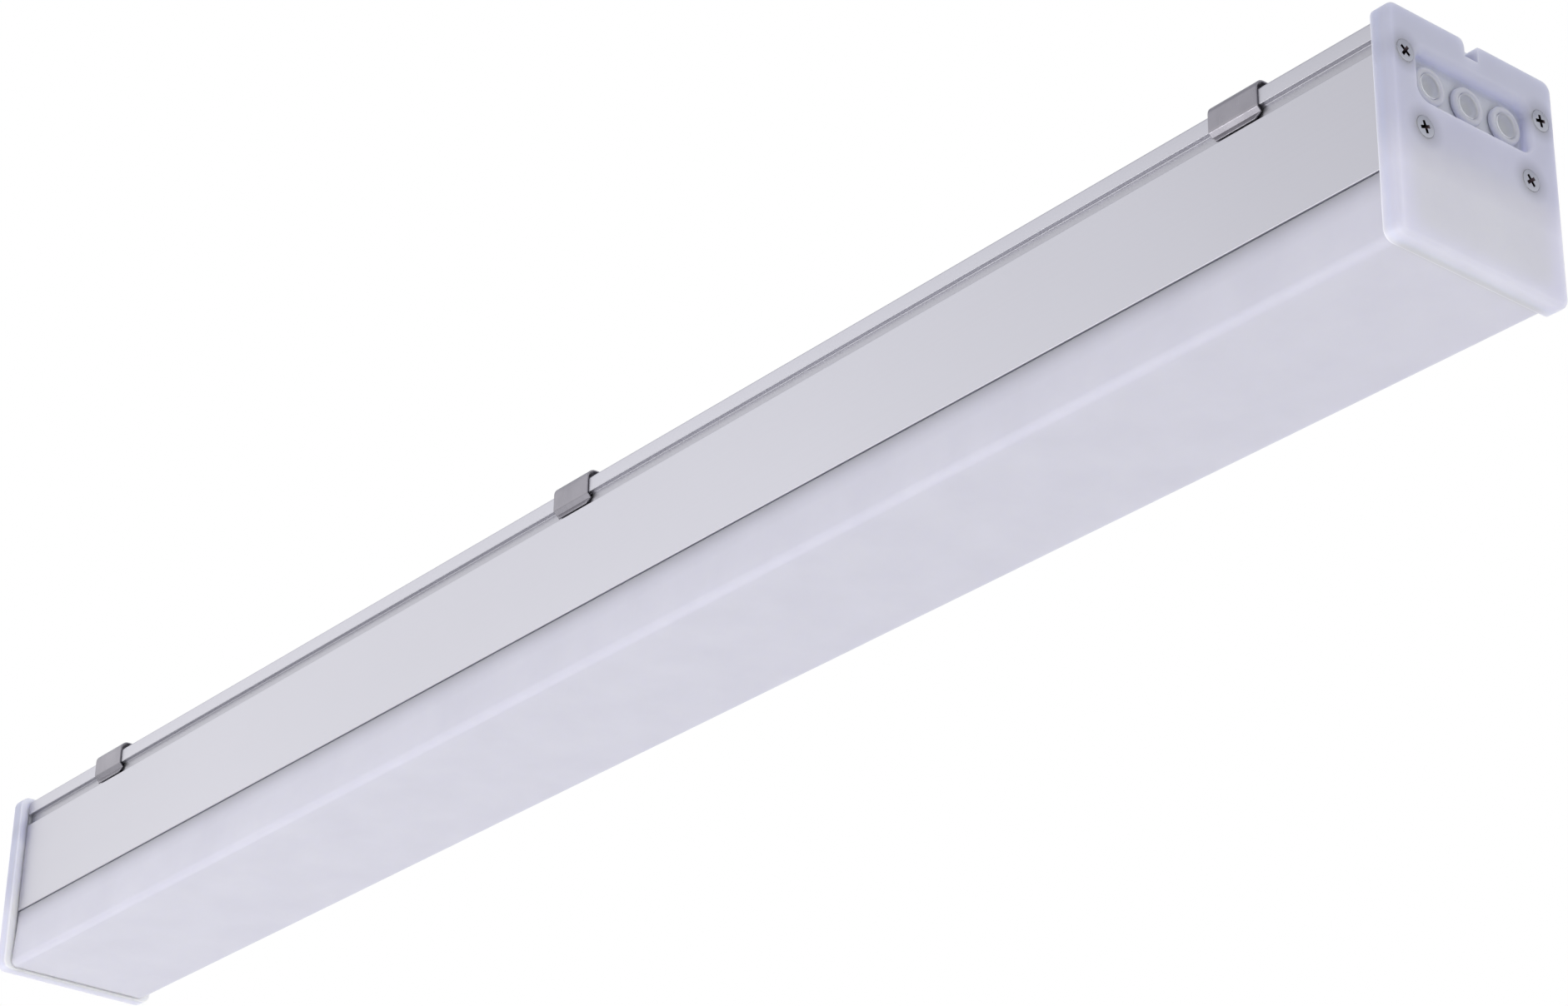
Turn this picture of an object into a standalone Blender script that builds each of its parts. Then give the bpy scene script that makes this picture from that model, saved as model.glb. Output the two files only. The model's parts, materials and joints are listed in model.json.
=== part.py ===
"""Linear LED light with an aluminium body, a milky diffuser, two milky end caps and three spring clips.

X runs along the light, Y across it and Z up. The origin is the middle of the light's underside, so it
stands on the undersides of its end caps. Lengths are in metres.
"""
import math

import bmesh
import bpy

MM = 0.001

# clearances
GAP = 0.3 * MM
OVERRUN = 1.0 * MM
WELD = 0.01 * MM

# aluminium housing, one extrusion
HOUSING_LENGTH = 608.0 * MM
HOUSING_WIDTH = 49.0 * MM
FACE_HEIGHT = 30.2 * MM
GROOVE_HEIGHT = 3.7 * MM
GROOVE_DEPTH = 1.4 * MM
FLANGE_HEIGHT = 4.65 * MM
FLANGE_RADIUS = 0.8 * MM
SIDE_WALL = 1.7 * MM
GROOVE_WALL = 1.6 * MM
TOP_WALL = 1.7 * MM
WEB_RISE = 9.35 * MM
WEB_THICKNESS = 1.8 * MM
PORT_WALL = 1.2 * MM
PORT_SIDE_WALL = 0.55 * MM
PORT_TOP_WALL = 0.5 * MM
HOOK_REACH = 1.2 * MM
HOOK_THICKNESS = 1.2 * MM
HOOK_RISE = 1.9 * MM
FEED_HOLE_RADIUS = 4.0 * MM

# diffuser
DIFFUSER_HEIGHT = 18.76 * MM
DIFFUSER_SETBACK = 0.5 * MM
DIFFUSER_FLARE = 0.8 * MM
DIFFUSER_WALL = 1.6 * MM
DIFFUSER_CORNER = 2.0 * MM
DIFFUSER_INNER_CORNER = 1.0 * MM
DIFFUSER_LEG = 1.5 * MM
DIFFUSER_SHOULDER = 1.6 * MM
DIFFUSER_HOOK = 1.2 * MM

# end caps
CAP_WALL = 4.4 * MM
CAP_SIDE_RIM = 2.7 * MM
CAP_TOP_RIM = 1.6 * MM
CAP_BOTTOM_RIM = 0.7 * MM
CAP_CORNER = 2.9 * MM
CAP_EDGE = 0.5 * MM
CORE_SIDE = 3.3 * MM
CORE_BOTTOM = 3.4 * MM
CORE_CORNER = 3.0 * MM
CORE_SKIN = 2.0 * MM
NOTCH_WIDTH = 5.2 * MM
NOTCH_HEIGHT = 4.2 * MM
NOTCH_DEPTH = 3.4 * MM
NOTCH_ROUND = 3.0 * MM

# cable entry pocket in each end cap, with its row of grommets
POCKET_SCREW_WALL = 1.25 * MM
POCKET_MARGIN = 1.0 * MM
POCKET_TOP_MARGIN = 1.7 * MM
POCKET_CORNER = 3.0 * MM
POCKET_DEPTH = 3.4 * MM
ENTRY_COUNT = 3
ENTRY_DROP = 0.25 * MM
ENTRY_SPACING = 2.9 * MM
GROMMET_WALL = 1.7 * MM
GROMMET_STEP = 0.8 * MM
GROMMET_SETBACK = 1.7 * MM
GROMMET_ROUND = 0.5 * MM
GROMMET_FLANGE_LIP = 0.2 * MM
GROMMET_FLANGE = 1.4 * MM
GROMMET_MEMBRANE = 0.6 * MM

# gaskets between the caps and the housing
GASKET_THICKNESS = 1.0 * MM
GASKET_INSET = 0.5 * MM
GASKET_CORNER = 3.0 * MM
GASKET_WINDOW_CORNER = 2.0 * MM
GASKET_WINDOW_MARGIN = 0.8 * MM
GASKET_LIGHT_WINDOW_BOTTOM = 4.0 * MM

# end cap screws
SCREW_LENGTH = 14.0 * MM
SCREW_SHANK = 1.35 * MM
SCREW_HEAD = 2.75 * MM
SCREW_HEAD_HEIGHT = 1.6 * MM
SCREW_RIM = 0.3 * MM
RECESS_SPAN = 3.4 * MM
RECESS_WIDTH = 0.7 * MM
RECESS_DEPTH = 1.2 * MM
SCREW_POINT = 1.2 * MM

# spring clips
CLIP_WIDTH = 15.8 * MM
CLIP_SHEET = 0.6 * MM
CLIP_HEADROOM = 2.1 * MM
CLIP_BEND = 2.4 * MM
CLIP_FOLD = 0.5 * MM
CLIP_KNEE_DROP = 0.4 * MM
CLIP_TOE_SHARE = 0.5
CLIP_TAIL_CLEARANCE = 0.7 * MM
CLIP_TAIL_FLARE = 0.9 * MM
CLIP_TAIL_TAPER = 3.2 * MM
CLIP_HOLE_RADIUS = 2.2 * MM
CLIP_HOLE_SPACING = 24.0 * MM
RIGHT_CLIP_INSET = 44.7 * MM
MIDDLE_CLIP_X = 1.35 * MM
LEFT_CLIP_INSET = 52.3 * MM

# LED boards
BOARD_END_MARGIN = 8.2 * MM
BOARD_THICKNESS = 1.6 * MM
BOARD_SIDE_CLEARANCE = 1.0 * MM
BOARD_SPACING = 14.0 * MM
LED_COUNT = 24
LED_LENGTH = 3.5 * MM
LED_WIDTH = 2.8 * MM
LED_HEIGHT = 0.8 * MM
LED_SINK = 0.1 * MM
LED_END_MARGIN = 8.0 * MM
BOARD_SCREW_COUNT = 2
BOARD_SCREW_MARGIN = 5.45 * MM
BOARD_SCREW_END = 14.0 * MM
SMALL_HEAD = 2.6 * MM
SMALL_HEAD_HEIGHT = 1.6 * MM
SMALL_SHANK = 1.2 * MM
BOARD_PLUG_WIRES = 4
BOARD_PLUG_LENGTH = 8.0 * MM
BOARD_PLUG_WIDTH = 9.6 * MM
BOARD_PLUG_HEIGHT = 4.0 * MM

# LED driver
DRIVER_SPACING = 9.4 * MM
DRIVER_LENGTH = 150.0 * MM
DRIVER_HEADROOM = 4.6 * MM
DRIVER_WALL = 1.2 * MM
DRIVER_SIDE_CLEARANCE = 0.8 * MM
DRIVER_LID = 1.5 * MM
DRIVER_BOARD_RISE = 2.6 * MM
DRIVER_BOARD_THICKNESS = 1.6 * MM
DRIVER_BOARD_MARGIN = 1.0 * MM
STANDOFF_RADIUS = 1.8 * MM
STANDOFF_INSET = 5.0 * MM
STANDOFF_SINK = 0.4 * MM
TRANSFORMER_LENGTH = 24.0 * MM
TRANSFORMER_CLEARANCE = 2.55 * MM
TRANSFORMER_HEADROOM = 2.3 * MM
TRANSFORMER_X = -8.0 * MM
COIL_LENGTH = 15.0 * MM
COIL_OVERHANG = 1.4 * MM
CAPACITOR_HEADROOM = 3.3 * MM
CAPACITOR_LENGTH = 16.0 * MM
CAPACITOR_EDGE = 0.8 * MM
CAPACITOR_SPACING = 21.0 * MM
CAPACITOR_X = 20.0 * MM
CHOKE_RADIUS = 4.6 * MM
CHOKE_TUBE = 2.4 * MM
CHOKE_X = -48.0 * MM
DRIVER_FOOT_LENGTH = 9.0 * MM
DRIVER_FOOT_WIDTH = 10.0 * MM
DRIVER_FOOT_SINK = 0.6 * MM
DRIVER_PORT_RADIUS = 3.4 * MM
DRIVER_PORT_DROP = 7.0 * MM

# terminal blocks
TERMINAL_INSET = 35.2 * MM
TERMINAL_LENGTH = 20.0 * MM
TERMINAL_SIDE_CLEARANCE = 1.95 * MM
TERMINAL_HEIGHT = 13.0 * MM
TERMINAL_POLES = 3
TERMINAL_WALL = 0.5 * MM
TERMINAL_BORE = 1.7 * MM
TERMINAL_BORE_DEPTH = 4.0 * MM
TERMINAL_LOW_BORE = 3.6 * MM
TERMINAL_HIGH_BORE = 8.0 * MM
TERMINAL_WELL_RADIUS = 1.9 * MM
TERMINAL_WELL_DEPTH = 1.6 * MM
TERMINAL_WELL_SHIFT = 5.0 * MM
TERMINAL_EDGE = 0.8 * MM

# earth point on the web
EARTH_SPACING = 20.0 * MM
LUG_SIDE_CLEARANCE = 0.75 * MM
LUG_RADIUS = 4.6 * MM
LUG_THICKNESS = 0.8 * MM
LUG_BARREL_RADIUS = 1.6 * MM
LUG_BARREL_HEIGHT = 4.0 * MM
EARTH_HEAD = 3.2 * MM
EARTH_HEAD_HEIGHT = 2.2 * MM
EARTH_SHANK = 1.7 * MM

# wires
WIRE_RADIUS = 1.2 * MM
WIRE_BEND = 5.0 * MM
WIRE_INSERT = 2.5 * MM
WIRE_PAIR_SPACING = 3.0 * MM
WIRE_LEAD = 9.0 * MM
THIN_WIRE_RADIUS = 0.8 * MM
THIN_WIRE_BEND = 3.0 * MM
THIN_WIRE_SPACING = 2.2 * MM
THIN_WIRE_LANDING_SHARE = 0.5357

# facets
CORNER_STEPS = 4
EDGE_STEPS = 3
BEND_STEPS = 3
ROUND_SIDES = 20
SCREW_SIDES = 16
PORT_SIDES = 12
SMALL_SIDES = 8
RING_SIDES = 8
SMOOTH_ANGLE = math.radians(35)
ROUND_PROFILE = 0.5

# heights of the section, bottom to top
Z_DIFFUSER = CAP_BOTTOM_RIM
Z_SHOULDER = Z_DIFFUSER + DIFFUSER_HEIGHT
Z_HOUSING = Z_SHOULDER + GAP
Z_HOOK = Z_HOUSING + HOOK_RISE
Z_WEB = Z_HOUSING + WEB_RISE
Z_WEB_TOP = Z_WEB + WEB_THICKNESS
Z_GROOVE = Z_HOUSING + FACE_HEIGHT
Z_FLANGE = Z_GROOVE + GROOVE_HEIGHT
Z_TOP = Z_FLANGE + FLANGE_HEIGHT
CAP_HEIGHT = Z_TOP + CAP_TOP_RIM

# half widths of the section
Y_OUTER = HOUSING_WIDTH / 2
Y_GROOVE = Y_OUTER - GROOVE_DEPTH
Y_INNER = Y_OUTER - SIDE_WALL
Y_LEG = Y_INNER - GAP
Y_RIB = Y_LEG - DIFFUSER_LEG - GAP - HOOK_REACH
Y_SHOULDER = Y_OUTER - DIFFUSER_SETBACK
Y_DIFFUSER = Y_SHOULDER + DIFFUSER_FLARE
CAP_HALF_WIDTH = Y_OUTER + CAP_SIDE_RIM

# screw ports, as (y, z) on the +Y side
PORT_RADIUS = SCREW_SHANK + GAP
PORT_MARGIN = PORT_RADIUS + PORT_SIDE_WALL
UPPER_PORT = (Y_OUTER - PORT_MARGIN, Z_GROOVE - PORT_TOP_WALL - PORT_RADIUS)
LOWER_PORT = (Y_RIB - PORT_MARGIN, Z_WEB + WEB_THICKNESS / 2)
PORT_HALF = PORT_RADIUS + PORT_WALL
PORT_INNER = LOWER_PORT[0] - PORT_HALF

# places along the light
X_HOUSING = HOUSING_LENGTH / 2
X_CAP_BACK = X_HOUSING + GAP
X_CAP_INSIDE = X_CAP_BACK + GASKET_THICKNESS + GAP
X_END = X_CAP_INSIDE + CAP_WALL
CAP_DEPTH = X_END - X_CAP_BACK
RIGHT_CLIP_X = X_HOUSING - RIGHT_CLIP_INSET
LEFT_CLIP_X = LEFT_CLIP_INSET - X_HOUSING
BOARD_LENGTH = X_HOUSING - BOARD_SPACING / 2 - BOARD_END_MARGIN
TERMINAL_X = X_HOUSING - TERMINAL_INSET
EARTH_X = TERMINAL_X - TERMINAL_LENGTH / 2 - EARTH_SPACING
DRIVER_X = EARTH_X - LUG_RADIUS - DRIVER_SPACING - DRIVER_FOOT_LENGTH - DRIVER_LENGTH / 2

# the row of cable entries, which fills the room between the upper cap screws
Z_ENTRY = (Z_WEB_TOP + Z_TOP - TOP_WALL) / 2 - ENTRY_DROP
POCKET_HALF_WIDTH = UPPER_PORT[0] - SCREW_HEAD - POCKET_SCREW_WALL
ENTRY_PITCH = (2 * (POCKET_HALF_WIDTH - POCKET_MARGIN) + ENTRY_SPACING) / ENTRY_COUNT
GROMMET_RADIUS = (ENTRY_PITCH - ENTRY_SPACING) / 2
GROMMET_BORE = GROMMET_RADIUS - GROMMET_WALL
GROMMET_NECK = GROMMET_RADIUS - GROMMET_STEP
GROMMET_FLANGE_RADIUS = GROMMET_RADIUS + GROMMET_FLANGE_LIP
POCKET_HALF_HEIGHT = GROMMET_RADIUS + POCKET_TOP_MARGIN

# the part of the clip that reaches into the groove
CLIP_TOE_DROP = CLIP_TOE_SHARE * GROOVE_HEIGHT
CLIP_TAIL_DROP = GROOVE_HEIGHT - CLIP_TOE_DROP - CLIP_TAIL_CLEARANCE

# what fits in the height of the housing's upper chamber
DRIVER_HEIGHT = Z_TOP - TOP_WALL - Z_WEB_TOP - DRIVER_HEADROOM - DRIVER_LID - 2 * GAP
DRIVER_SEAT = DRIVER_WALL + DRIVER_BOARD_RISE + DRIVER_BOARD_THICKNESS + GAP
DRIVER_PORT_RISE = DRIVER_HEIGHT - DRIVER_PORT_DROP
TRANSFORMER_HEIGHT = DRIVER_HEIGHT - DRIVER_SEAT - TRANSFORMER_HEADROOM
CAPACITOR_RADIUS = (DRIVER_HEIGHT - DRIVER_SEAT - CAPACITOR_HEADROOM) / 2

# what fits across the light between the lower screw ports
BOARD_HALF_WIDTH = PORT_INNER - BOARD_SIDE_CLEARANCE
BOARD_SCREW_ROW = BOARD_HALF_WIDTH - BOARD_SCREW_MARGIN
DRIVER_HALF_WIDTH = PORT_INNER - DRIVER_SIDE_CLEARANCE
TRANSFORMER_WIDTH = 2 * (DRIVER_HALF_WIDTH - DRIVER_WALL - TRANSFORMER_CLEARANCE - COIL_OVERHANG)
TERMINAL_WIDTH = 2 * (PORT_INNER - TERMINAL_SIDE_CLEARANCE)
TERMINAL_PITCH = (TERMINAL_WIDTH - 2 * TERMINAL_WALL) / TERMINAL_POLES
LUG_BARREL_Y = PORT_INNER - LUG_SIDE_CLEARANCE - LUG_BARREL_RADIUS
EARTH_Y = LUG_BARREL_Y - LUG_BARREL_RADIUS - GAP - EARTH_HEAD

PARTS = None
CUTTERS = None


def clear_scene():
    for item in list(bpy.data.objects):
        bpy.data.objects.remove(item, do_unlink=True)


def make_collections():
    global PARTS, CUTTERS
    PARTS = bpy.data.collections.new("led_linear_light")
    CUTTERS = bpy.data.collections.new("cutters")
    bpy.context.scene.collection.children.link(PARTS)
    bpy.context.scene.collection.children.link(CUTTERS)


def material(name, colour, roughness, metallic=0.0):
    made = bpy.data.materials.get(name)
    if made is None:
        made = bpy.data.materials.new(name)
        made.use_nodes = True
        shader = made.node_tree.nodes["Principled BSDF"]
        shader.inputs["Base Color"].default_value = (*colour, 1.0)
        shader.inputs["Roughness"].default_value = roughness
        shader.inputs["Metallic"].default_value = metallic
    return made


def aluminium():
    return material("aluminium", (0.66, 0.66, 0.67), 0.42, 1.0)


def milky_cap():
    return material("milky_cap", (0.60, 0.60, 0.68), 0.35)


def milky_diffuser():
    return material("milky_diffuser", (0.63, 0.62, 0.70), 0.40)


def silicone():
    return material("silicone", (0.58, 0.58, 0.65), 0.55)


def stainless():
    return material("stainless", (0.56, 0.55, 0.56), 0.25, 1.0)


def zinc():
    return material("zinc", (0.52, 0.51, 0.50), 0.35, 1.0)


def board_white():
    return material("board_white", (0.85, 0.86, 0.86), 0.45)


def case_white():
    return material("case_white", (0.80, 0.80, 0.78), 0.50)


def board_green():
    return material("board_green", (0.05, 0.25, 0.12), 0.50)


def ferrite():
    return material("ferrite", (0.08, 0.08, 0.09), 0.60)


def copper():
    return material("copper", (0.72, 0.38, 0.16), 0.35, 1.0)


def sleeve_black():
    return material("sleeve_black", (0.03, 0.03, 0.04), 0.35)


def brown():
    return material("wire_brown", (0.25, 0.10, 0.04), 0.45)


def blue():
    return material("wire_blue", (0.04, 0.12, 0.50), 0.45)


def green():
    return material("wire_green", (0.35, 0.55, 0.05), 0.45)


def red():
    return material("wire_red", (0.55, 0.03, 0.03), 0.45)


def black():
    return material("wire_black", (0.03, 0.03, 0.03), 0.45)


def place(item, collection, finish=None):
    for holder in list(item.users_collection):
        holder.objects.unlink(item)
    collection.objects.link(item)
    if finish is not None:
        item.data.materials.clear()
        item.data.materials.append(finish)


def make_cutter(item):
    place(item, CUTTERS)
    item.hide_render = True
    item.display_type = "WIRE"
    return item


def smooth(item):
    item.data.shade_smooth()
    item.data.set_sharp_from_angle(angle=SMOOTH_ANGLE)


def mesh_object(name, mesh_data):
    mesh = bpy.data.meshes.new(name)
    mesh_data.to_mesh(mesh)
    mesh_data.free()
    item = bpy.data.objects.new(name, mesh)
    PARTS.objects.link(item)
    return item


def centred_cube(size):
    shape = bmesh.new()
    bmesh.ops.create_cube(shape, size=1.0)
    bmesh.ops.scale(shape, vec=size, verts=shape.verts)
    return shape


def block(name, size, centre, edge=0.0):
    """A box of the given size, with its edges chamfered where edge is not zero."""
    shape = centred_cube(size)
    if edge > 0.0:
        bmesh.ops.bevel(shape, geom=shape.edges[:], offset=edge, segments=1, affect="EDGES")
    item = mesh_object(name, shape)
    item.location = centre
    return item


def rod(name, radius, length, centre, axis="X", sides=ROUND_SIDES, edge=0.0):
    """A cylinder along the named axis, with its rims chamfered where edge is not zero."""
    shape = bmesh.new()
    bmesh.ops.create_cone(shape, cap_ends=True, segments=sides, radius1=radius, radius2=radius, depth=length)
    if edge > 0.0:
        rims = [line for line in shape.edges if abs(line.verts[0].co.z - line.verts[1].co.z) < edge]
        bmesh.ops.bevel(shape, geom=rims, offset=edge, segments=1, affect="EDGES")
    item = mesh_object(name, shape)
    item.location = centre
    if axis == "X":
        item.rotation_euler = (0.0, math.pi / 2, 0.0)
    if axis == "Y":
        item.rotation_euler = (math.pi / 2, 0.0, 0.0)
    smooth(item)
    return item


def turned(name, profile, origin, outward, sides=ROUND_SIDES):
    """A turned piece on an axis along X, from (radius, distance) points that run down its outer side.

    The distances are measured along X in the direction of outward, which is 1 or -1.
    """
    shape = bmesh.new()
    points = [shape.verts.new((radius, 0.0, distance)) for radius, distance in profile]
    for first, second in zip(points, points[1:]):
        shape.edges.new((first, second))
    item = mesh_object(name, shape)
    screw = item.modifiers.new("turn", "SCREW")
    screw.axis = "Z"
    screw.steps = sides
    screw.render_steps = sides
    screw.use_merge_vertices = True
    screw.merge_threshold = WELD
    item.location = origin
    item.rotation_euler = (0.0, outward * math.pi / 2, 0.0)
    return item


def turned_solid(name, profile, origin, outward, sides=ROUND_SIDES):
    """A turned piece made a plain mesh, so that it can be cut or joined."""
    return as_mesh(turned(name, profile, origin, outward, sides))


def as_mesh(item):
    """The same shape as a plain mesh object, in place of a curve or of an object with modifiers."""
    name = item.name
    holder = item.users_collection[0]
    bpy.context.view_layer.update()
    evaluated = item.evaluated_get(bpy.context.evaluated_depsgraph_get())
    mesh = bpy.data.meshes.new_from_object(evaluated)
    shape = bmesh.new()
    shape.from_mesh(mesh)
    bmesh.ops.remove_doubles(shape, verts=shape.verts, dist=WELD)
    bmesh.ops.recalc_face_normals(shape, faces=shape.faces)
    shape.to_mesh(mesh)
    shape.free()
    matrix = item.matrix_world.copy()
    bpy.data.objects.remove(item, do_unlink=True)
    made = bpy.data.objects.new(name, mesh)
    made.matrix_world = matrix
    holder.objects.link(made)
    return made


def extrusion(name, outlines, x_low, x_high):
    """A bar along X whose section is the first outline of (y, z) points, less the other outlines."""
    curve = bpy.data.curves.new(name, "CURVE")
    curve.dimensions = "2D"
    curve.fill_mode = "BOTH"
    curve.extrude = (x_high - x_low) / 2
    for outline in outlines:
        spline = curve.splines.new("POLY")
        spline.points.add(len(outline) - 1)
        for point, (across, up) in zip(spline.points, outline):
            point.co = (across, up, 0.0, 1.0)
        spline.use_cyclic_u = True
    item = bpy.data.objects.new(name, curve)
    item.location = ((x_low + x_high) / 2, 0.0, 0.0)
    item.rotation_euler = (math.pi / 2, 0.0, math.pi / 2)
    PARTS.objects.link(item)
    return as_mesh(item)


def tube(name, points, radius, bend):
    """A round wire through the points, with its corners rounded."""
    curve = bpy.data.curves.new(name, "CURVE")
    curve.dimensions = "3D"
    curve.bevel_depth = radius
    curve.bevel_resolution = 2
    curve.use_fill_caps = True
    path = rounded_path(points, bend)
    spline = curve.splines.new("POLY")
    spline.points.add(len(path) - 1)
    for point, place_at in zip(spline.points, path):
        point.co = (*place_at, 1.0)
    item = bpy.data.objects.new(name, curve)
    PARTS.objects.link(item)
    return item


def rounded_path(points, bend):
    """The points with each inner corner replaced by a short curve that starts bend before it."""
    path = [tuple(points[0])]
    for before, corner, after in zip(points, points[1:], points[2:]):
        reach = min(bend, math.dist(before, corner) / 2, math.dist(corner, after) / 2)
        start = step_towards(corner, before, reach)
        end = step_towards(corner, after, reach)
        for step in range(BEND_STEPS + 1):
            share = step / BEND_STEPS
            path.append(tuple(
                (1 - share) ** 2 * a + 2 * share * (1 - share) * b + share ** 2 * c
                for a, b, c in zip(start, corner, end)))
    path.append(tuple(points[-1]))
    return path


def step_towards(start, end, distance):
    whole = math.dist(start, end)
    return tuple(a + (b - a) * distance / whole for a, b in zip(start, end))


def cut(target, cutter):
    change = target.modifiers.new("cut_" + cutter.name, "BOOLEAN")
    change.operation = "DIFFERENCE"
    change.solver = "EXACT"
    change.object = make_cutter(cutter)


def unite(target, added):
    change = target.modifiers.new("join_" + added.name, "BOOLEAN")
    change.operation = "UNION"
    change.solver = "EXACT"
    change.object = make_cutter(added)


def arc(centre, radius, start, end, steps=CORNER_STEPS):
    """Points on an arc from the start angle to the end angle, in degrees."""
    turns = [math.radians(start + (end - start) * step / steps) for step in range(steps + 1)]
    return [(centre[0] + radius * math.cos(turn), centre[1] + radius * math.sin(turn)) for turn in turns]


def circle(centre, radius, sides):
    return arc(centre, radius, 0.0, 360.0, sides)[:-1]


def mirrored(half):
    """A whole outline from its +Y half, which starts and ends near the middle plane."""
    return half + [(-across, up) for across, up in reversed(half)]


def rounded_rectangle(half_width, bottom, top, radius):
    """An outline centred on the middle plane."""
    low = arc((half_width - radius, bottom + radius), radius, -90.0, 0.0)
    high = arc((half_width - radius, top - radius), radius, 0.0, 90.0)
    return mirrored(low + high)


def small_hole(name, shank, wall, centre):
    """The cutter for an upright screw's hole through a wall, GAP wider than its shank all round."""
    return rod(name, shank + GAP, wall + 2 * OVERRUN, centre, "Z", SMALL_SIDES)


def port_places():
    """The (y, z) places of the four end cap screws."""
    return [(side * across, up) for across, up in (UPPER_PORT, LOWER_PORT) for side in (1, -1)]


def entry_places():
    """The y places of the cable entries."""
    middle = (ENTRY_COUNT - 1) / 2
    return [(number - middle) * ENTRY_PITCH for number in range(ENTRY_COUNT)]


def board_places():
    """The middle of each LED board along X, by its name."""
    offset = (BOARD_LENGTH + BOARD_SPACING) / 2
    return {"right": offset, "left": -offset}


def board_screw_offsets():
    """The places of a board's screws along it, from its middle."""
    reach = BOARD_LENGTH / 2 - BOARD_SCREW_END
    return [reach * (2 * number / (BOARD_SCREW_COUNT - 1) - 1) for number in range(BOARD_SCREW_COUNT)]


def housing_outline():
    flange_corner = arc((Y_OUTER - FLANGE_RADIUS, Z_TOP - FLANGE_RADIUS), FLANGE_RADIUS, 90.0, 0.0)
    port_bottom = LOWER_PORT[1] - PORT_HALF
    half = flange_corner + [
        (Y_OUTER, Z_FLANGE), (Y_GROOVE, Z_FLANGE), (Y_GROOVE, Z_GROOVE), (Y_OUTER, Z_GROOVE),
        (Y_OUTER, Z_HOUSING), (Y_INNER, Z_HOUSING), (Y_INNER, Z_WEB),
        (Y_RIB, Z_WEB), (Y_RIB, Z_HOOK + HOOK_THICKNESS), (Y_RIB + HOOK_REACH, Z_HOOK + HOOK_THICKNESS),
        (Y_RIB + HOOK_REACH, Z_HOOK), (Y_RIB - HOOK_THICKNESS, Z_HOOK), (Y_RIB - HOOK_THICKNESS, port_bottom),
        (PORT_INNER, port_bottom), (PORT_INNER, Z_WEB)]
    return mirrored(half)


def chamber_outline():
    upper_inner = UPPER_PORT[0] - PORT_HALF
    groove_inner = Y_GROOVE - GROOVE_WALL
    port_top = LOWER_PORT[1] + PORT_HALF
    half = [
        (groove_inner, Z_TOP - TOP_WALL), (groove_inner, UPPER_PORT[1] + PORT_HALF),
        (upper_inner, UPPER_PORT[1] + PORT_HALF), (upper_inner, UPPER_PORT[1] - PORT_HALF),
        (Y_INNER, UPPER_PORT[1] - PORT_HALF), (Y_INNER, Z_WEB_TOP),
        (LOWER_PORT[0] + PORT_HALF, Z_WEB_TOP), (LOWER_PORT[0] + PORT_HALF, port_top),
        (PORT_INNER, port_top), (PORT_INNER, Z_WEB_TOP)]
    return mirrored(half)


def make_housing():
    holes = [circle(place_at, PORT_RADIUS, PORT_SIDES) for place_at in port_places()]
    item = extrusion("housing", [housing_outline(), chamber_outline()] + holes, -X_HOUSING, X_HOUSING)
    place(item, PARTS, aluminium())
    middle = Z_WEB + WEB_THICKNESS / 2
    cut(item, rod("feed_hole", FEED_HOLE_RADIUS, WEB_THICKNESS + 2 * OVERRUN, (0.0, 0.0, middle), "Z"))
    for side, board_x in board_places().items():
        for number, offset in enumerate(board_screw_offsets()):
            centre = (board_x + offset, BOARD_SCREW_ROW, middle)
            cut(item, small_hole(f"{side}_board_hole_{number}", SMALL_SHANK, WEB_THICKNESS, centre))
    for number, x in enumerate(driver_foot_places()):
        centre = (x, driver_foot_y(x), middle)
        cut(item, small_hole(f"driver_web_hole_{number}", SMALL_SHANK, WEB_THICKNESS, centre))
    cut(item, small_hole("earth_web_hole", EARTH_SHANK, WEB_THICKNESS, (EARTH_X, EARTH_Y, middle)))


def diffuser_outline():
    """The trough's side walls lean out a little from the shoulder under the housing to the bottom."""
    wall_inner = Y_DIFFUSER - DIFFUSER_WALL
    floor_inner = Z_DIFFUSER + DIFFUSER_WALL
    leg_inner = Y_LEG - DIFFUSER_LEG
    hook_bottom = Z_HOOK + HOOK_THICKNESS + GAP
    shoulder_bottom = Z_SHOULDER - DIFFUSER_SHOULDER
    corner_centre = (Y_DIFFUSER - DIFFUSER_CORNER, Z_DIFFUSER + DIFFUSER_CORNER)
    inner_centre = (wall_inner - DIFFUSER_INNER_CORNER, floor_inner + DIFFUSER_INNER_CORNER)
    outer_corner = arc(corner_centre, DIFFUSER_CORNER, -90.0, 0.0)
    inner_corner = arc(inner_centre, DIFFUSER_INNER_CORNER, 0.0, -90.0)
    half = outer_corner + [
        (Y_SHOULDER, Z_SHOULDER), (Y_LEG, Z_SHOULDER), (Y_LEG, hook_bottom + DIFFUSER_HOOK),
        (Y_RIB + GAP, hook_bottom + DIFFUSER_HOOK), (Y_RIB + GAP, hook_bottom), (leg_inner, hook_bottom),
        (leg_inner, shoulder_bottom), (Y_SHOULDER - DIFFUSER_WALL, shoulder_bottom)] + inner_corner
    return mirrored(half)


def make_diffuser():
    item = extrusion("diffuser", [diffuser_outline()], -X_HOUSING, X_HOUSING)
    place(item, PARTS, milky_diffuser())


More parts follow.
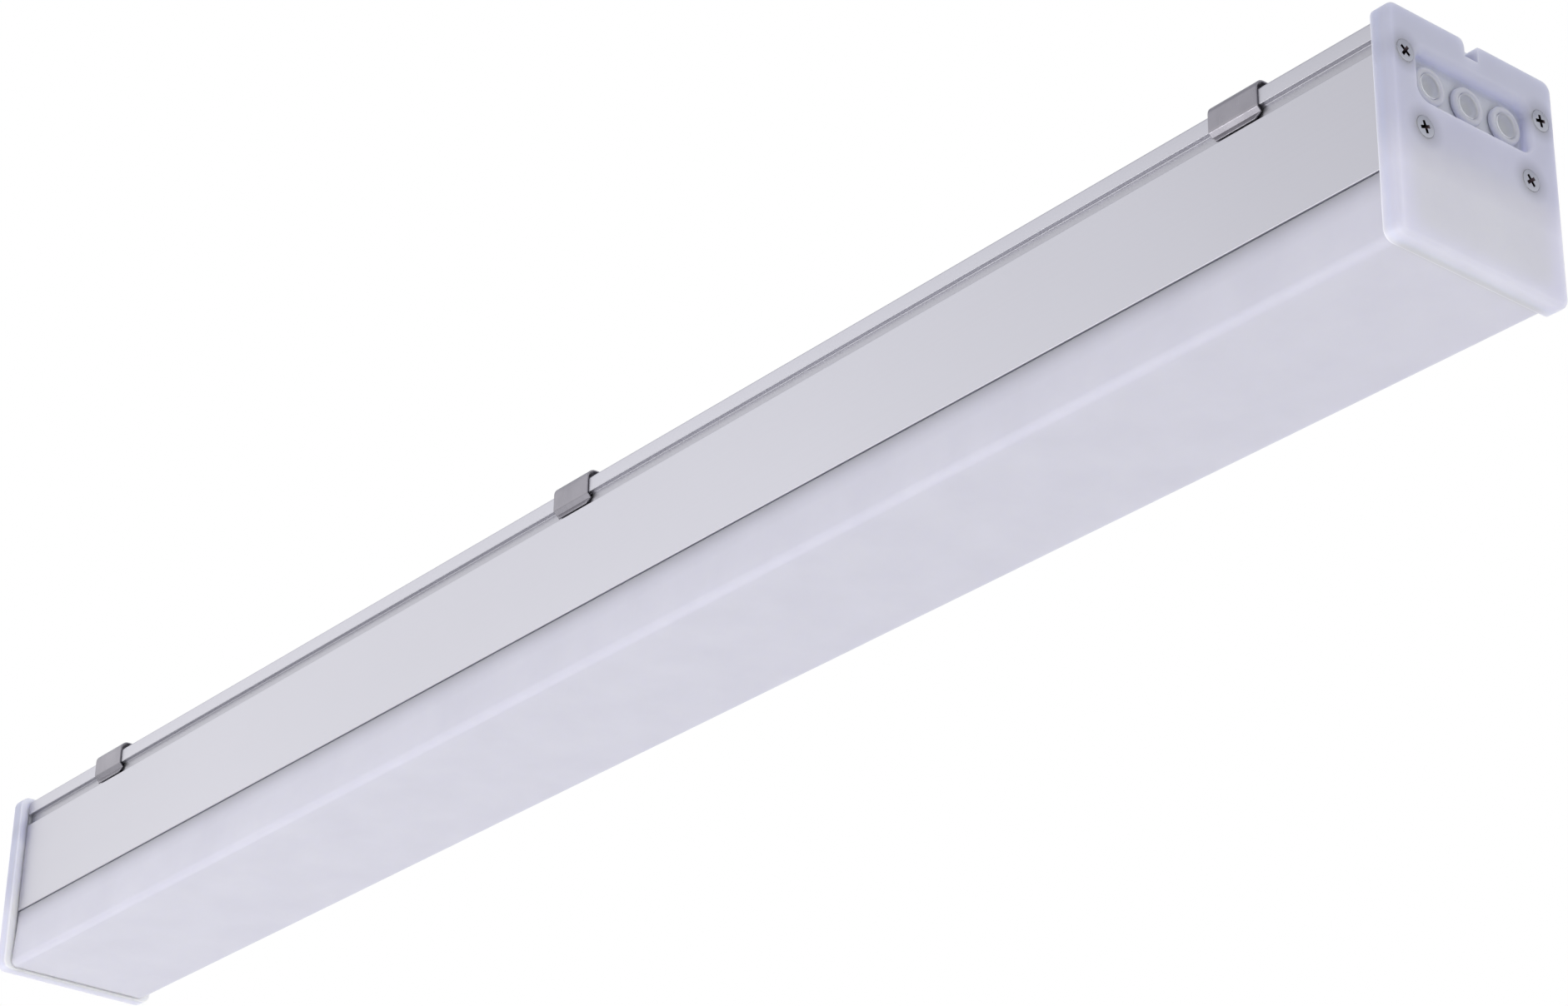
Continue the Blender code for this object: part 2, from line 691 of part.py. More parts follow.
def rounded_cap_body(name, side):
    """The cap's outer block, with its long edges rounded and the edge of its end face rounded."""
    shape = centred_cube((CAP_DEPTH, 2 * CAP_HALF_WIDTH, CAP_HEIGHT))
    long_edges = [line for line in shape.edges if line.verts[0].co.x * line.verts[1].co.x < 0.0]
    bmesh.ops.bevel(shape, geom=long_edges, offset=CAP_CORNER, segments=CORNER_STEPS, affect="EDGES",
                    profile=ROUND_PROFILE)
    outer = [line for line in shape.edges if all(side * point.co.x > 0.0 for point in line.verts)]
    bmesh.ops.bevel(shape, geom=outer, offset=CAP_EDGE, segments=EDGE_STEPS, affect="EDGES",
                    profile=ROUND_PROFILE)
    item = mesh_object(name, shape)
    item.location = (side * (X_CAP_BACK + CAP_DEPTH / 2), 0.0, CAP_HEIGHT / 2)
    return item


def notch_outline():
    low = CAP_HEIGHT - NOTCH_HEIGHT
    half = [(NOTCH_WIDTH / 2, low)]
    half += arc((NOTCH_WIDTH / 2 + NOTCH_ROUND, CAP_HEIGHT - NOTCH_ROUND), NOTCH_ROUND, 180.0, 90.0)
    half.append((NOTCH_WIDTH / 2 + NOTCH_ROUND, CAP_HEIGHT + OVERRUN))
    return mirrored(half)


def span(side, start, end):
    """The lower and higher of two distances along X from the middle, on the given side."""
    return min(side * start, side * end), max(side * start, side * end)


def gasket_outline(margin):
    inset = GASKET_INSET - margin
    return rounded_rectangle(Y_OUTER - inset, Z_DIFFUSER + inset, Z_TOP - inset, GASKET_CORNER + margin)


def make_cap(name, side):
    """A cap butts on the housing's end, and its gasket lies in a recess in the cap's back face."""
    item = rounded_cap_body(name, side)
    place(item, PARTS, milky_cap())
    recess_reach = span(side, X_CAP_BACK - OVERRUN, X_CAP_INSIDE)
    cut(item, extrusion(name + "_recess", [gasket_outline(GAP)], *recess_reach))
    core = rounded_rectangle(Y_OUTER - CORE_SIDE, Z_DIFFUSER + CORE_BOTTOM, LOWER_PORT[1] - PORT_HALF - GAP,
                             CORE_CORNER)
    cut(item, extrusion(name + "_core", [core], *span(side, X_CAP_INSIDE - OVERRUN, X_END - CORE_SKIN)))
    pocket = rounded_rectangle(POCKET_HALF_WIDTH, Z_ENTRY - POCKET_HALF_HEIGHT, Z_ENTRY + POCKET_HALF_HEIGHT,
                               POCKET_CORNER)
    cut(item, extrusion(name + "_pocket", [pocket], *span(side, X_END - POCKET_DEPTH, X_END + OVERRUN)))
    notch_reach = span(side, X_END - NOTCH_DEPTH, X_END + OVERRUN)
    cut(item, extrusion(name + "_notch", [notch_outline()], *notch_reach))
    floor_middle = side * (X_CAP_INSIDE + X_END - POCKET_DEPTH) / 2
    for number, across in enumerate(entry_places()):
        hole = rod(f"{name}_entry_{number}", GROMMET_NECK + GAP, CAP_WALL, (floor_middle, across, Z_ENTRY))
        cut(item, hole)
    for number, (across, up) in enumerate(port_places()):
        cut(item, screw_seat(f"{name}_screw_seat_{number}", side, across, up))


def screw_seat(name, side, across, up):
    """The cutter for one countersunk hole, GAP wider than the screw all round."""
    head = SCREW_HEAD + GAP
    shank = SCREW_SHANK + GAP
    depth = SCREW_RIM + SCREW_HEAD_HEIGHT + GAP
    profile = [(0.0, OVERRUN), (head, OVERRUN), (head, -SCREW_RIM), (shank, -depth),
               (shank, -CAP_DEPTH - OVERRUN), (0.0, -CAP_DEPTH - OVERRUN)]
    return turned_solid(name, profile, (side * X_END, across, up), side, SCREW_SIDES)


def make_cap_screw(name, side, across, up):
    """One countersunk screw with a cross recess, its head level with the cap's end face."""
    profile = [(0.0, 0.0), (SCREW_HEAD, 0.0), (SCREW_HEAD, -SCREW_RIM),
               (SCREW_SHANK, -SCREW_RIM - SCREW_HEAD_HEIGHT), (SCREW_SHANK, SCREW_POINT - SCREW_LENGTH),
               (SCREW_SHANK / 2, -SCREW_LENGTH), (0.0, -SCREW_LENGTH)]
    item = turned_solid(name, profile, (side * X_END, across, up), side, SCREW_SIDES)
    middle = side * (X_END - (RECESS_DEPTH - OVERRUN) / 2)
    depth = RECESS_DEPTH + OVERRUN
    cut(item, block(name + "_slot_a", (depth, RECESS_SPAN, RECESS_WIDTH), (middle, across, up)))
    cut(item, block(name + "_slot_b", (depth, RECESS_WIDTH, RECESS_SPAN), (middle, across, up)))
    place(item, PARTS, zinc())


def make_cap_screws(name, side):
    for number, (across, up) in enumerate(port_places(), 1):
        make_cap_screw(f"{name}_{number}", side, across, up)


def make_grommets(name, side):
    """The row of cable entry grommets, each a ring with a thin membrane at its inner end."""
    floor = GROMMET_SETBACK - POCKET_DEPTH
    neck_start = floor + GAP
    neck_end = GROMMET_SETBACK - CAP_WALL - GAP
    tail = neck_end - GROMMET_FLANGE
    profile = [
        (0.0, tail + GROMMET_MEMBRANE), (GROMMET_BORE, tail + GROMMET_MEMBRANE),
        (GROMMET_BORE, -GROMMET_ROUND), (GROMMET_BORE + GROMMET_ROUND, 0.0),
        (GROMMET_RADIUS - GROMMET_ROUND, 0.0), (GROMMET_RADIUS, -GROMMET_ROUND),
        (GROMMET_RADIUS, neck_start), (GROMMET_NECK, neck_start), (GROMMET_NECK, neck_end),
        (GROMMET_FLANGE_RADIUS, neck_end), (GROMMET_FLANGE_RADIUS, tail), (0.0, tail)]
    front = side * (X_END - GROMMET_SETBACK)
    for number, across in enumerate(entry_places(), 1):
        item = turned_solid(f"{name}_{number}", profile, (front, across, Z_ENTRY), side)
        place(item, PARTS, silicone())
        smooth(item)


def make_gasket(name, side):
    entries = rounded_rectangle(UPPER_PORT[0] - PORT_HALF, LOWER_PORT[1] + PORT_HALF + GASKET_WINDOW_MARGIN,
                                Z_TOP - TOP_WALL - GASKET_WINDOW_MARGIN, GASKET_WINDOW_CORNER)
    light = rounded_rectangle(Y_RIB - HOOK_THICKNESS - GASKET_WINDOW_MARGIN,
                              Z_DIFFUSER + GASKET_LIGHT_WINDOW_BOTTOM,
                              LOWER_PORT[1] - PORT_HALF - GASKET_WINDOW_MARGIN, GASKET_WINDOW_CORNER)
    holes = [circle(place_at, PORT_RADIUS, PORT_SIDES) for place_at in port_places()]
    outlines = [gasket_outline(0.0), entries, light] + holes
    item = extrusion(name, outlines, *span(side, X_CAP_BACK, X_CAP_BACK + GASKET_THICKNESS))
    place(item, PARTS, silicone())


def clip_path():
    """The middle line of the clip's sheet, as points from one tail over the strap to the other tail.

    The points are measured from the middle of the flange's top face.
    """
    half = CLIP_SHEET / 2
    leg = Y_OUTER + GAP + half
    toe = Y_GROOVE + GAP + half
    knee_z = Z_FLANGE - CLIP_KNEE_DROP - Z_TOP
    toe_z = Z_FLANGE - CLIP_TOE_DROP - Z_TOP
    corners = [(0.0, leg, 0.0), (0.0, leg, knee_z), (0.0, toe, toe_z),
               (0.0, toe + CLIP_TAIL_FLARE, toe_z - CLIP_TAIL_DROP)]
    side = rounded_path(corners, CLIP_FOLD)[1:]
    top = CLIP_HEADROOM + half
    bend = [(0.0, across, up) for across, up in arc((leg - CLIP_BEND, top - CLIP_BEND), CLIP_BEND, 90.0, 0.0)]
    half_path = bend + side
    return [(0.0, -across, up) for _, across, up in reversed(half_path)] + half_path


def make_clip(name, centre_x):
    """A spring clip: a strap over the flange with a leg down each side that hooks into the groove."""
    line = clip_path()
    shape = bmesh.new()
    low = [shape.verts.new((-CLIP_WIDTH / 2, across, up)) for _, across, up in line]
    high = [shape.verts.new((CLIP_WIDTH / 2, across, up)) for _, across, up in line]
    for number in range(len(line) - 1):
        shape.faces.new((low[number], high[number], high[number + 1], low[number + 1]))
    sheet = mesh_object(name, shape)
    sheet.location = (centre_x, 0.0, Z_TOP)
    thick = sheet.modifiers.new("sheet", "SOLIDIFY")
    thick.thickness = CLIP_SHEET
    thick.offset = 0.0
    thick.use_even_offset = True
    item = as_mesh(sheet)
    tail_z = line[0][2] + CLIP_SHEET / 2
    for point in item.data.vertices:
        if point.co.z < tail_z:
            point.co.x -= math.copysign(CLIP_TAIL_TAPER, point.co.x)
    place(item, PARTS, stainless())
    top = Z_TOP + CLIP_HEADROOM + CLIP_SHEET / 2
    for number, side in enumerate((-1, 1)):
        centre = (centre_x, side * CLIP_HOLE_SPACING / 2, top)
        cut(item, rod(f"{name}_hole_{number}", CLIP_HOLE_RADIUS, CLIP_SHEET + 2 * OVERRUN, centre, "Z"))


def make_board(name, centre_x):
    """A board with its row of LEDs soldered to its underside."""
    middle = Z_WEB - GAP - BOARD_THICKNESS / 2
    item = block(name, (BOARD_LENGTH, 2 * BOARD_HALF_WIDTH, BOARD_THICKNESS), (centre_x, 0.0, middle))
    place(item, PARTS, board_white())
    reach = BOARD_LENGTH / 2 - LED_END_MARGIN
    height = LED_HEIGHT + LED_SINK
    leds = bmesh.new()
    for number in range(LED_COUNT):
        offset = reach * (2 * number / (LED_COUNT - 1) - 1)
        made = bmesh.ops.create_cube(leds, size=1.0)["verts"]
        bmesh.ops.scale(leds, vec=(LED_LENGTH, LED_WIDTH, height), verts=made)
        bmesh.ops.translate(leds, vec=(offset, 0.0, 0.0), verts=made)
    row = mesh_object(name + "_leds", leds)
    row.location = (centre_x, 0.0, middle - BOARD_THICKNESS / 2 + LED_SINK - height / 2)
    unite(item, row)
    for number, offset in enumerate(board_screw_offsets()):
        centre = (centre_x + offset, BOARD_SCREW_ROW, middle)
        cut(item, small_hole(f"{name}_hole_{number}", SMALL_SHANK, BOARD_THICKNESS, centre))


def make_small_screw(name, place_at, length, down):
    """A round-headed screw whose head rests on a face at place_at; down is 1 if it points down, or -1."""
    x, y, z = place_at
    head = rod(name, SMALL_HEAD, SMALL_HEAD_HEIGHT, (x, y, z + down * (GAP + SMALL_HEAD_HEIGHT / 2)), "Z",
               SMALL_SIDES)
    place(head, PARTS, zinc())
    whole = length + GAP + SMALL_HEAD_HEIGHT / 2
    shank = rod(name + "_shank", SMALL_SHANK, whole,
                (x, y, z + down * (GAP + SMALL_HEAD_HEIGHT / 2 - whole / 2)), "Z", SMALL_SIDES)
    unite(head, shank)


def make_board_screws():
    """Small screws that hold both LED boards up against the web."""
    face = Z_WEB - GAP - BOARD_THICKNESS
    for side, board_x in board_places().items():
        for number, offset in enumerate(board_screw_offsets(), 1):
            make_small_screw(f"{side}_board_screw_{number}", (board_x + offset, BOARD_SCREW_ROW, face),
                             BOARD_THICKNESS + GAP + WEB_THICKNESS, -1)


def plug_place(side):
    """The middle of a board's wire plug, near the board's inner end."""
    x = side * (BOARD_SPACING / 2 + BOARD_SCREW_END + SMALL_HEAD + GAP + BOARD_PLUG_LENGTH / 2)
    z = Z_WEB - GAP - BOARD_THICKNESS - GAP - BOARD_PLUG_HEIGHT / 2
    y = -(LED_WIDTH / 2 + GAP + BOARD_PLUG_WIDTH / 2)
    return x, y, z


def plug_wire_places():
    """The y places of the four wires in a plug's inner face."""
    middle = plug_place(1)[1]
    first = middle - (BOARD_PLUG_WIRES - 1) / 2 * THIN_WIRE_SPACING
    return [first + number * THIN_WIRE_SPACING for number in range(BOARD_PLUG_WIRES)]


def make_board_plug(name, side):
    item = block(name, (BOARD_PLUG_LENGTH, BOARD_PLUG_WIDTH, BOARD_PLUG_HEIGHT), plug_place(side))
    place(item, PARTS, case_white())


def driver_foot_places():
    """The places of the driver's two fixing screws along the light."""
    reach = (DRIVER_LENGTH + DRIVER_FOOT_LENGTH) / 2
    return [DRIVER_X - reach, DRIVER_X + reach]


def driver_foot_y(x):
    """The feet stand at opposite corners of the driver."""
    side = -1 if x < DRIVER_X else 1
    return side * (DRIVER_HALF_WIDTH - DRIVER_FOOT_WIDTH / 2)


def make_driver_tray():
    width = 2 * DRIVER_HALF_WIDTH
    bottom = Z_WEB_TOP + GAP
    middle = (DRIVER_X, 0.0, bottom + DRIVER_HEIGHT / 2)
    tray = block("driver_tray", (DRIVER_LENGTH, width, DRIVER_HEIGHT), middle)
    place(tray, PARTS, case_white())
    inside = (DRIVER_LENGTH - 2 * DRIVER_WALL, width - 2 * DRIVER_WALL, DRIVER_HEIGHT)
    cut(tray, block("driver_hollow", inside, (DRIVER_X, 0.0, bottom + DRIVER_WALL + DRIVER_HEIGHT / 2)))
    for number, side in enumerate((-1, 1)):
        end = DRIVER_X + side * (DRIVER_LENGTH - DRIVER_WALL) / 2
        cut(tray, rod(f"driver_port_{number}", DRIVER_PORT_RADIUS, DRIVER_WALL + 2 * OVERRUN,
                      (end, 0.0, bottom + DRIVER_PORT_RISE), "X", SMALL_SIDES))
    reach = DRIVER_LENGTH / 2 - STANDOFF_INSET
    post_height = DRIVER_BOARD_RISE - GAP + STANDOFF_SINK
    post_z = bottom + DRIVER_WALL - STANDOFF_SINK + post_height / 2
    for number, (along, side) in enumerate(((-1, -1), (-1, 1), (1, -1), (1, 1))):
        centre = (DRIVER_X + along * reach, side * (width / 2 - STANDOFF_INSET), post_z)
        unite(tray, rod(f"driver_post_{number}", STANDOFF_RADIUS, post_height, centre, "Z", SMALL_SIDES))
    for number, x in enumerate(driver_foot_places(), 1):
        inward = 1 if x < DRIVER_X else -1
        centre = (x + inward * DRIVER_FOOT_SINK / 2, driver_foot_y(x), bottom + DRIVER_WALL / 2)
        size = (DRIVER_FOOT_LENGTH + DRIVER_FOOT_SINK, DRIVER_FOOT_WIDTH, DRIVER_WALL)
        unite(tray, block(f"driver_foot_{number}", size, centre))
        cut(tray, small_hole(f"driver_foot_hole_{number}", SMALL_SHANK, DRIVER_WALL,
                             (x, driver_foot_y(x), bottom + DRIVER_WALL / 2)))
        make_small_screw(f"driver_screw_{number}", (x, driver_foot_y(x), bottom + DRIVER_WALL),
                         DRIVER_WALL + GAP + WEB_THICKNESS, 1)


def make_driver_lid():
    centre = (DRIVER_X, 0.0, Z_WEB_TOP + GAP + DRIVER_HEIGHT + GAP + DRIVER_LID / 2)
    lid = block("driver_lid", (DRIVER_LENGTH, 2 * DRIVER_HALF_WIDTH, DRIVER_LID), centre)
    place(lid, PARTS, case_white())


def make_driver_inside():
    bottom = Z_WEB_TOP + GAP
    board_z = bottom + DRIVER_WALL + DRIVER_BOARD_RISE
    length = DRIVER_LENGTH - 2 * DRIVER_WALL - 2 * DRIVER_BOARD_MARGIN
    width = 2 * (DRIVER_HALF_WIDTH - DRIVER_WALL - DRIVER_BOARD_MARGIN)
    board = block("driver_board", (length, width, DRIVER_BOARD_THICKNESS),
                  (DRIVER_X, 0.0, board_z + DRIVER_BOARD_THICKNESS / 2))
    place(board, PARTS, board_green())
    seat = bottom + DRIVER_SEAT
    middle = (DRIVER_X + TRANSFORMER_X, 0.0, seat + TRANSFORMER_HEIGHT / 2)
    core = block("driver_transformer", (TRANSFORMER_LENGTH, TRANSFORMER_WIDTH, TRANSFORMER_HEIGHT), middle)
    place(core, PARTS, ferrite())
    winding = (COIL_LENGTH, TRANSFORMER_WIDTH + 2 * COIL_OVERHANG, TRANSFORMER_HEIGHT - 2 * COIL_OVERHANG)
    unite(core, block("transformer_winding", winding, middle))
    for number in range(2):
        x = DRIVER_X + CAPACITOR_X + number * CAPACITOR_SPACING
        can = rod(f"driver_capacitor_{number + 1}", CAPACITOR_RADIUS, CAPACITOR_LENGTH,
                  (x, 0.0, seat + CAPACITOR_RADIUS), "X", ROUND_SIDES, CAPACITOR_EDGE)
        place(can, PARTS, sleeve_black())
    bpy.ops.mesh.primitive_torus_add(
        major_radius=CHOKE_RADIUS, minor_radius=CHOKE_TUBE, major_segments=ROUND_SIDES,
        minor_segments=RING_SIDES, location=(DRIVER_X + CHOKE_X, 0.0, seat + CHOKE_TUBE))
    choke = bpy.context.active_object
    choke.name = "driver_choke"
    place(choke, PARTS, copper())
    smooth(choke)


def terminal_places():
    middle = (TERMINAL_POLES - 1) / 2
    return [(number - middle) * TERMINAL_PITCH for number in range(TERMINAL_POLES)]


def make_terminal_block(name, side):
    """A block with wire bores in both ends of every pole and a clamping screw's well over each end."""
    bottom = Z_WEB_TOP + GAP
    item = block(name, (TERMINAL_LENGTH, TERMINAL_WIDTH, TERMINAL_HEIGHT),
                 (side * TERMINAL_X, 0.0, bottom + TERMINAL_HEIGHT / 2), TERMINAL_EDGE)
    place(item, PARTS, case_white())
    depth = TERMINAL_BORE_DEPTH + OVERRUN
    well_depth = TERMINAL_WELL_DEPTH + OVERRUN
    for pole, across in enumerate(terminal_places()):
        for end in (-1, 1):
            x = side * TERMINAL_X + end * (TERMINAL_LENGTH / 2 + OVERRUN - depth / 2)
            for level, rise in enumerate((TERMINAL_LOW_BORE, TERMINAL_HIGH_BORE)):
                cut(item, rod(f"{name}_bore_{pole}_{end + 1}_{level}", TERMINAL_BORE, depth,
                              (x, across, bottom + rise), "X", SMALL_SIDES))
            centre = (side * TERMINAL_X + end * TERMINAL_WELL_SHIFT, across,
                      bottom + TERMINAL_HEIGHT + OVERRUN - well_depth / 2)
            cut(item, rod(f"{name}_well_{pole}_{end + 1}", TERMINAL_WELL_RADIUS, well_depth, centre, "Z",
                          SMALL_SIDES))


def make_earth_point():
    seat = Z_WEB_TOP + GAP
    lug_middle = (EARTH_X, EARTH_Y, seat + LUG_THICKNESS / 2)
    lug = rod("earth_lug", LUG_RADIUS, LUG_THICKNESS, lug_middle, "Z")
    place(lug, PARTS, zinc())
    barrel_middle = (EARTH_X, LUG_BARREL_Y, seat + LUG_BARREL_HEIGHT / 2)
    unite(lug, rod("earth_barrel", LUG_BARREL_RADIUS, LUG_BARREL_HEIGHT, barrel_middle, "Z", SMALL_SIDES))
    cut(lug, small_hole("earth_lug_hole", EARTH_SHANK, LUG_THICKNESS, lug_middle))
    head_z = seat + LUG_THICKNESS + GAP + EARTH_HEAD_HEIGHT / 2
    head = rod("earth_screw", EARTH_HEAD, EARTH_HEAD_HEIGHT, (EARTH_X, EARTH_Y, head_z), "Z", SMALL_SIDES)
    place(head, PARTS, zinc())
    shank_middle = (EARTH_X, EARTH_Y, (head_z + Z_WEB) / 2)
    unite(head, rod("earth_shank", EARTH_SHANK, head_z - Z_WEB, shank_middle, "Z", SMALL_SIDES))


def make_wire(name, points, finish, thin=False):
    radius = THIN_WIRE_RADIUS if thin else WIRE_RADIUS
    bend = THIN_WIRE_BEND if thin else WIRE_BEND
    place(tube(name, points, radius, bend), PARTS, finish)


def make_through_wires():
    """Three wires that join the two terminal blocks, side by side along one wall of the chamber."""
    bore_z = Z_WEB_TOP + GAP + TERMINAL_LOW_BORE
    lane_z = LOWER_PORT[1] + PORT_HALF + GAP + WIRE_RADIUS
    inner_end = TERMINAL_X - TERMINAL_LENGTH / 2
    step = 2 * WIRE_RADIUS + GAP
    for number, (name, finish) in enumerate((("live", brown()), ("neutral", blue()), ("earth", green()))):
        pole_y = terminal_places()[number]
        lane_y = -(DRIVER_HALF_WIDTH + GAP + WIRE_RADIUS + (TERMINAL_POLES - 1 - number) * step)
        turn_x = inner_end - WIRE_BEND - (number + 1) * step
        tip = inner_end + WIRE_INSERT
        points = [(-tip, pole_y, bore_z), (-turn_x, pole_y, bore_z), (-turn_x, lane_y, lane_z),
                  (turn_x, lane_y, lane_z), (turn_x, pole_y, bore_z), (tip, pole_y, bore_z)]
        make_wire("through_wire_" + name, points, finish)


def make_supply_wires():
    """The wires from the right terminal block to the driver and to the earth lug."""
    seat = Z_WEB_TOP + GAP
    bore_z = seat + TERMINAL_HIGH_BORE
    port_z = seat + DRIVER_PORT_RISE
    block_end = TERMINAL_X - TERMINAL_LENGTH / 2
    driver_end = DRIVER_X + DRIVER_LENGTH / 2
    live_y, neutral_y, earth_y = terminal_places()
    for name, pole_y, side, finish in (("live", live_y, -1, brown()), ("neutral", neutral_y, 1, blue())):
        port_y = side * WIRE_PAIR_SPACING / 2
        make_wire("driver_wire_" + name, [
            (block_end + WIRE_INSERT, pole_y, bore_z), (block_end - WIRE_LEAD, pole_y, bore_z),
            (driver_end + WIRE_LEAD, port_y, port_z), (driver_end - WIRE_INSERT, port_y, port_z)], finish)
    make_wire("earth_wire", [
        (block_end + WIRE_INSERT, earth_y, bore_z), (block_end - WIRE_LEAD, earth_y, bore_z),
        (EARTH_X, LUG_BARREL_Y, bore_z), (EARTH_X, LUG_BARREL_Y, seat + LUG_BARREL_HEIGHT + GAP)], green())


def make_led_wires():
    """The wires from the driver down through the web to the right plug, and the links to the left plug."""
    port_z = Z_WEB_TOP + GAP + DRIVER_PORT_RISE
    web_z = Z_WEB_TOP + GAP + THIN_WIRE_RADIUS
    driver_end = DRIVER_X - DRIVER_LENGTH / 2
    lead_x = driver_end - WIRE_LEAD
    plug_x, _, plug_z = plug_place(1)
    face_x = plug_x - BOARD_PLUG_LENGTH / 2 - GAP
    places = plug_wire_places()
    for name, side, plug_y, finish in (("plus", 1, places[3], red()), ("minus", -1, places[2], black())):
        y = side * THIN_WIRE_SPACING / 2
        make_wire("led_wire_" + name, [
            (driver_end + WIRE_INSERT, y, port_z), (lead_x, y, port_z),
            (THIN_WIRE_LANDING_SHARE * lead_x, y, web_z), (0.0, y, web_z), (0.0, y, plug_z),
            (BOARD_SPACING / 2, plug_y, plug_z), (face_x, plug_y, plug_z)], finish, True)
    for name, plug_y, finish in (("plus", places[1], red()), ("minus", places[0], black())):
        make_wire("link_wire_" + name, [(-face_x, plug_y, plug_z), (face_x, plug_y, plug_z)], finish, True)


def build():
    clear_scene()
    make_collections()
    make_housing()
    make_diffuser()
    for name, side in (("right", 1), ("left", -1)):
        make_cap(name + "_end_cap", side)
        make_cap_screws(name + "_cap_screw", side)
        make_grommets(name + "_cable_grommet", side)
        make_gasket(name + "_cap_gasket", side)
        make_board_plug(name + "_board_plug", side)
        make_terminal_block(name + "_terminal_block", side)
    for name, centre_x in board_places().items():
        make_board(name + "_led_board", centre_x)
    make_board_screws()
    make_clip("right_clip", RIGHT_CLIP_X)
    make_clip("middle_clip", MIDDLE_CLIP_X)
    make_clip("left_clip", LEFT_CLIP_X)
    make_driver_tray()
    make_driver_lid()
    make_driver_inside()
    make_earth_point()
    make_through_wires()
    make_supply_wires()
    make_led_wires()


build()
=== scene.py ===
"""The looks of the LED linear light: satin aluminium, milky diffuser and caps, bright spring clips.

The outer pieces are finer meshes, each in the place of the CAD node that it replaces. The inner
pieces are the CAD nodes themselves, with procedural materials. Lengths are in metres.
"""
import json
import math

import bmesh
import bpy
from mathutils import Matrix, Vector

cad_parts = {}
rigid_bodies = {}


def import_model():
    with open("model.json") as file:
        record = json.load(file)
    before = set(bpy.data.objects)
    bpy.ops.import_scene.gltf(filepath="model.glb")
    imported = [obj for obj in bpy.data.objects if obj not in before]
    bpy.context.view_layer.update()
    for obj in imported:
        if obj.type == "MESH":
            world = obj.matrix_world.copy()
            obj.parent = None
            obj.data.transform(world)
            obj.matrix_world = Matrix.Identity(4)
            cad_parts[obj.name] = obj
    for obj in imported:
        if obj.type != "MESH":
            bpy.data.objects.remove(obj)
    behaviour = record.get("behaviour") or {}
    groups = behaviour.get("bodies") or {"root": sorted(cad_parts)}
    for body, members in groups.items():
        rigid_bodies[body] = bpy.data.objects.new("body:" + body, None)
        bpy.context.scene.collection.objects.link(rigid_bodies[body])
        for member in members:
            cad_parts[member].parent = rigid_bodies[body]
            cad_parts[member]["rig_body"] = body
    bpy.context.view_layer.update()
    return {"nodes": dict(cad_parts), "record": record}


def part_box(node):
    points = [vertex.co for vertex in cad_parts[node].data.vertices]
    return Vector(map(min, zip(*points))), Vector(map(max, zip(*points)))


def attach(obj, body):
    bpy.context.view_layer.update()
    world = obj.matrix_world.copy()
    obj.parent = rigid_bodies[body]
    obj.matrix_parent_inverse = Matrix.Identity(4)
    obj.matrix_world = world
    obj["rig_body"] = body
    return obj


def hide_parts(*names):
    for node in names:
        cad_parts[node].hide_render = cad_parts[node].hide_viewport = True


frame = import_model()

MM = 0.001
WELD = 0.001 * MM
SLIVER = 0.0001 * MM
OVERRUN = 1.0 * MM

# camera, as fitted to the photograph
LENS = 88.4
SENSOR_WIDTH = 36.0
CAMERA_AT = (0.78258, -0.57139, -0.42559)
CAMERA_RIGHT = (0.6290525, 0.77720156, 0.015833)
CAMERA_DOWN = (-0.34112281, 0.29428572, -0.89276601)
CAMERA_FORWARD = (-0.69851856, 0.55619569, 0.45024235)
CAMERA_NEAR = 0.01
CAMERA_FAR = 50.0

# places taken from the CAD nodes
HOUSING_LOW, HOUSING_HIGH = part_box("housing")
DIFFUSER_LOW, DIFFUSER_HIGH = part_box("diffuser")
CAP_LOW, CAP_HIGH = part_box("right_end_cap")
X_HOUSING = HOUSING_HIGH.x
Y_OUTER = HOUSING_HIGH.y
Z_HOUSING = HOUSING_LOW.z
Z_TOP = HOUSING_HIGH.z
X_END = CAP_HIGH.x
CAP_HALF_WIDTH = CAP_HIGH.y
CAP_HEIGHT = CAP_HIGH.z
GAP = 0.3 * MM
SEAM = 0.08 * MM

# housing section
FACE_HEIGHT = 30.2 * MM
GROOVE_HEIGHT = 3.7 * MM
GROOVE_DEPTH = 1.4 * MM
FLANGE_RADIUS = 0.8 * MM
SIDE_WALL = 1.7 * MM
GROOVE_WALL = 1.6 * MM
TOP_WALL = 1.7 * MM
WEB_RISE = 9.35 * MM
WEB_THICKNESS = 1.8 * MM
HOOK_REACH = 1.2 * MM
HOOK_THICKNESS = 1.2 * MM
HOOK_RISE = 1.9 * MM
PORT_RADIUS = 1.65 * MM
PORT_HALF = 2.85 * MM
UPPER_PORT = (22.3 * MM, 47.81 * MM)
LOWER_PORT = (17.3 * MM, 30.01 * MM)
EDGE_RADIUS = 0.25 * MM

Z_GROOVE = Z_HOUSING + FACE_HEIGHT
Z_FLANGE = Z_GROOVE + GROOVE_HEIGHT
Z_WEB = Z_HOUSING + WEB_RISE
Z_WEB_TOP = Z_WEB + WEB_THICKNESS
Z_HOOK = Z_HOUSING + HOOK_RISE
Y_GROOVE = Y_OUTER - GROOVE_DEPTH
Y_INNER = Y_OUTER - SIDE_WALL
Y_LEG = Y_INNER - GAP

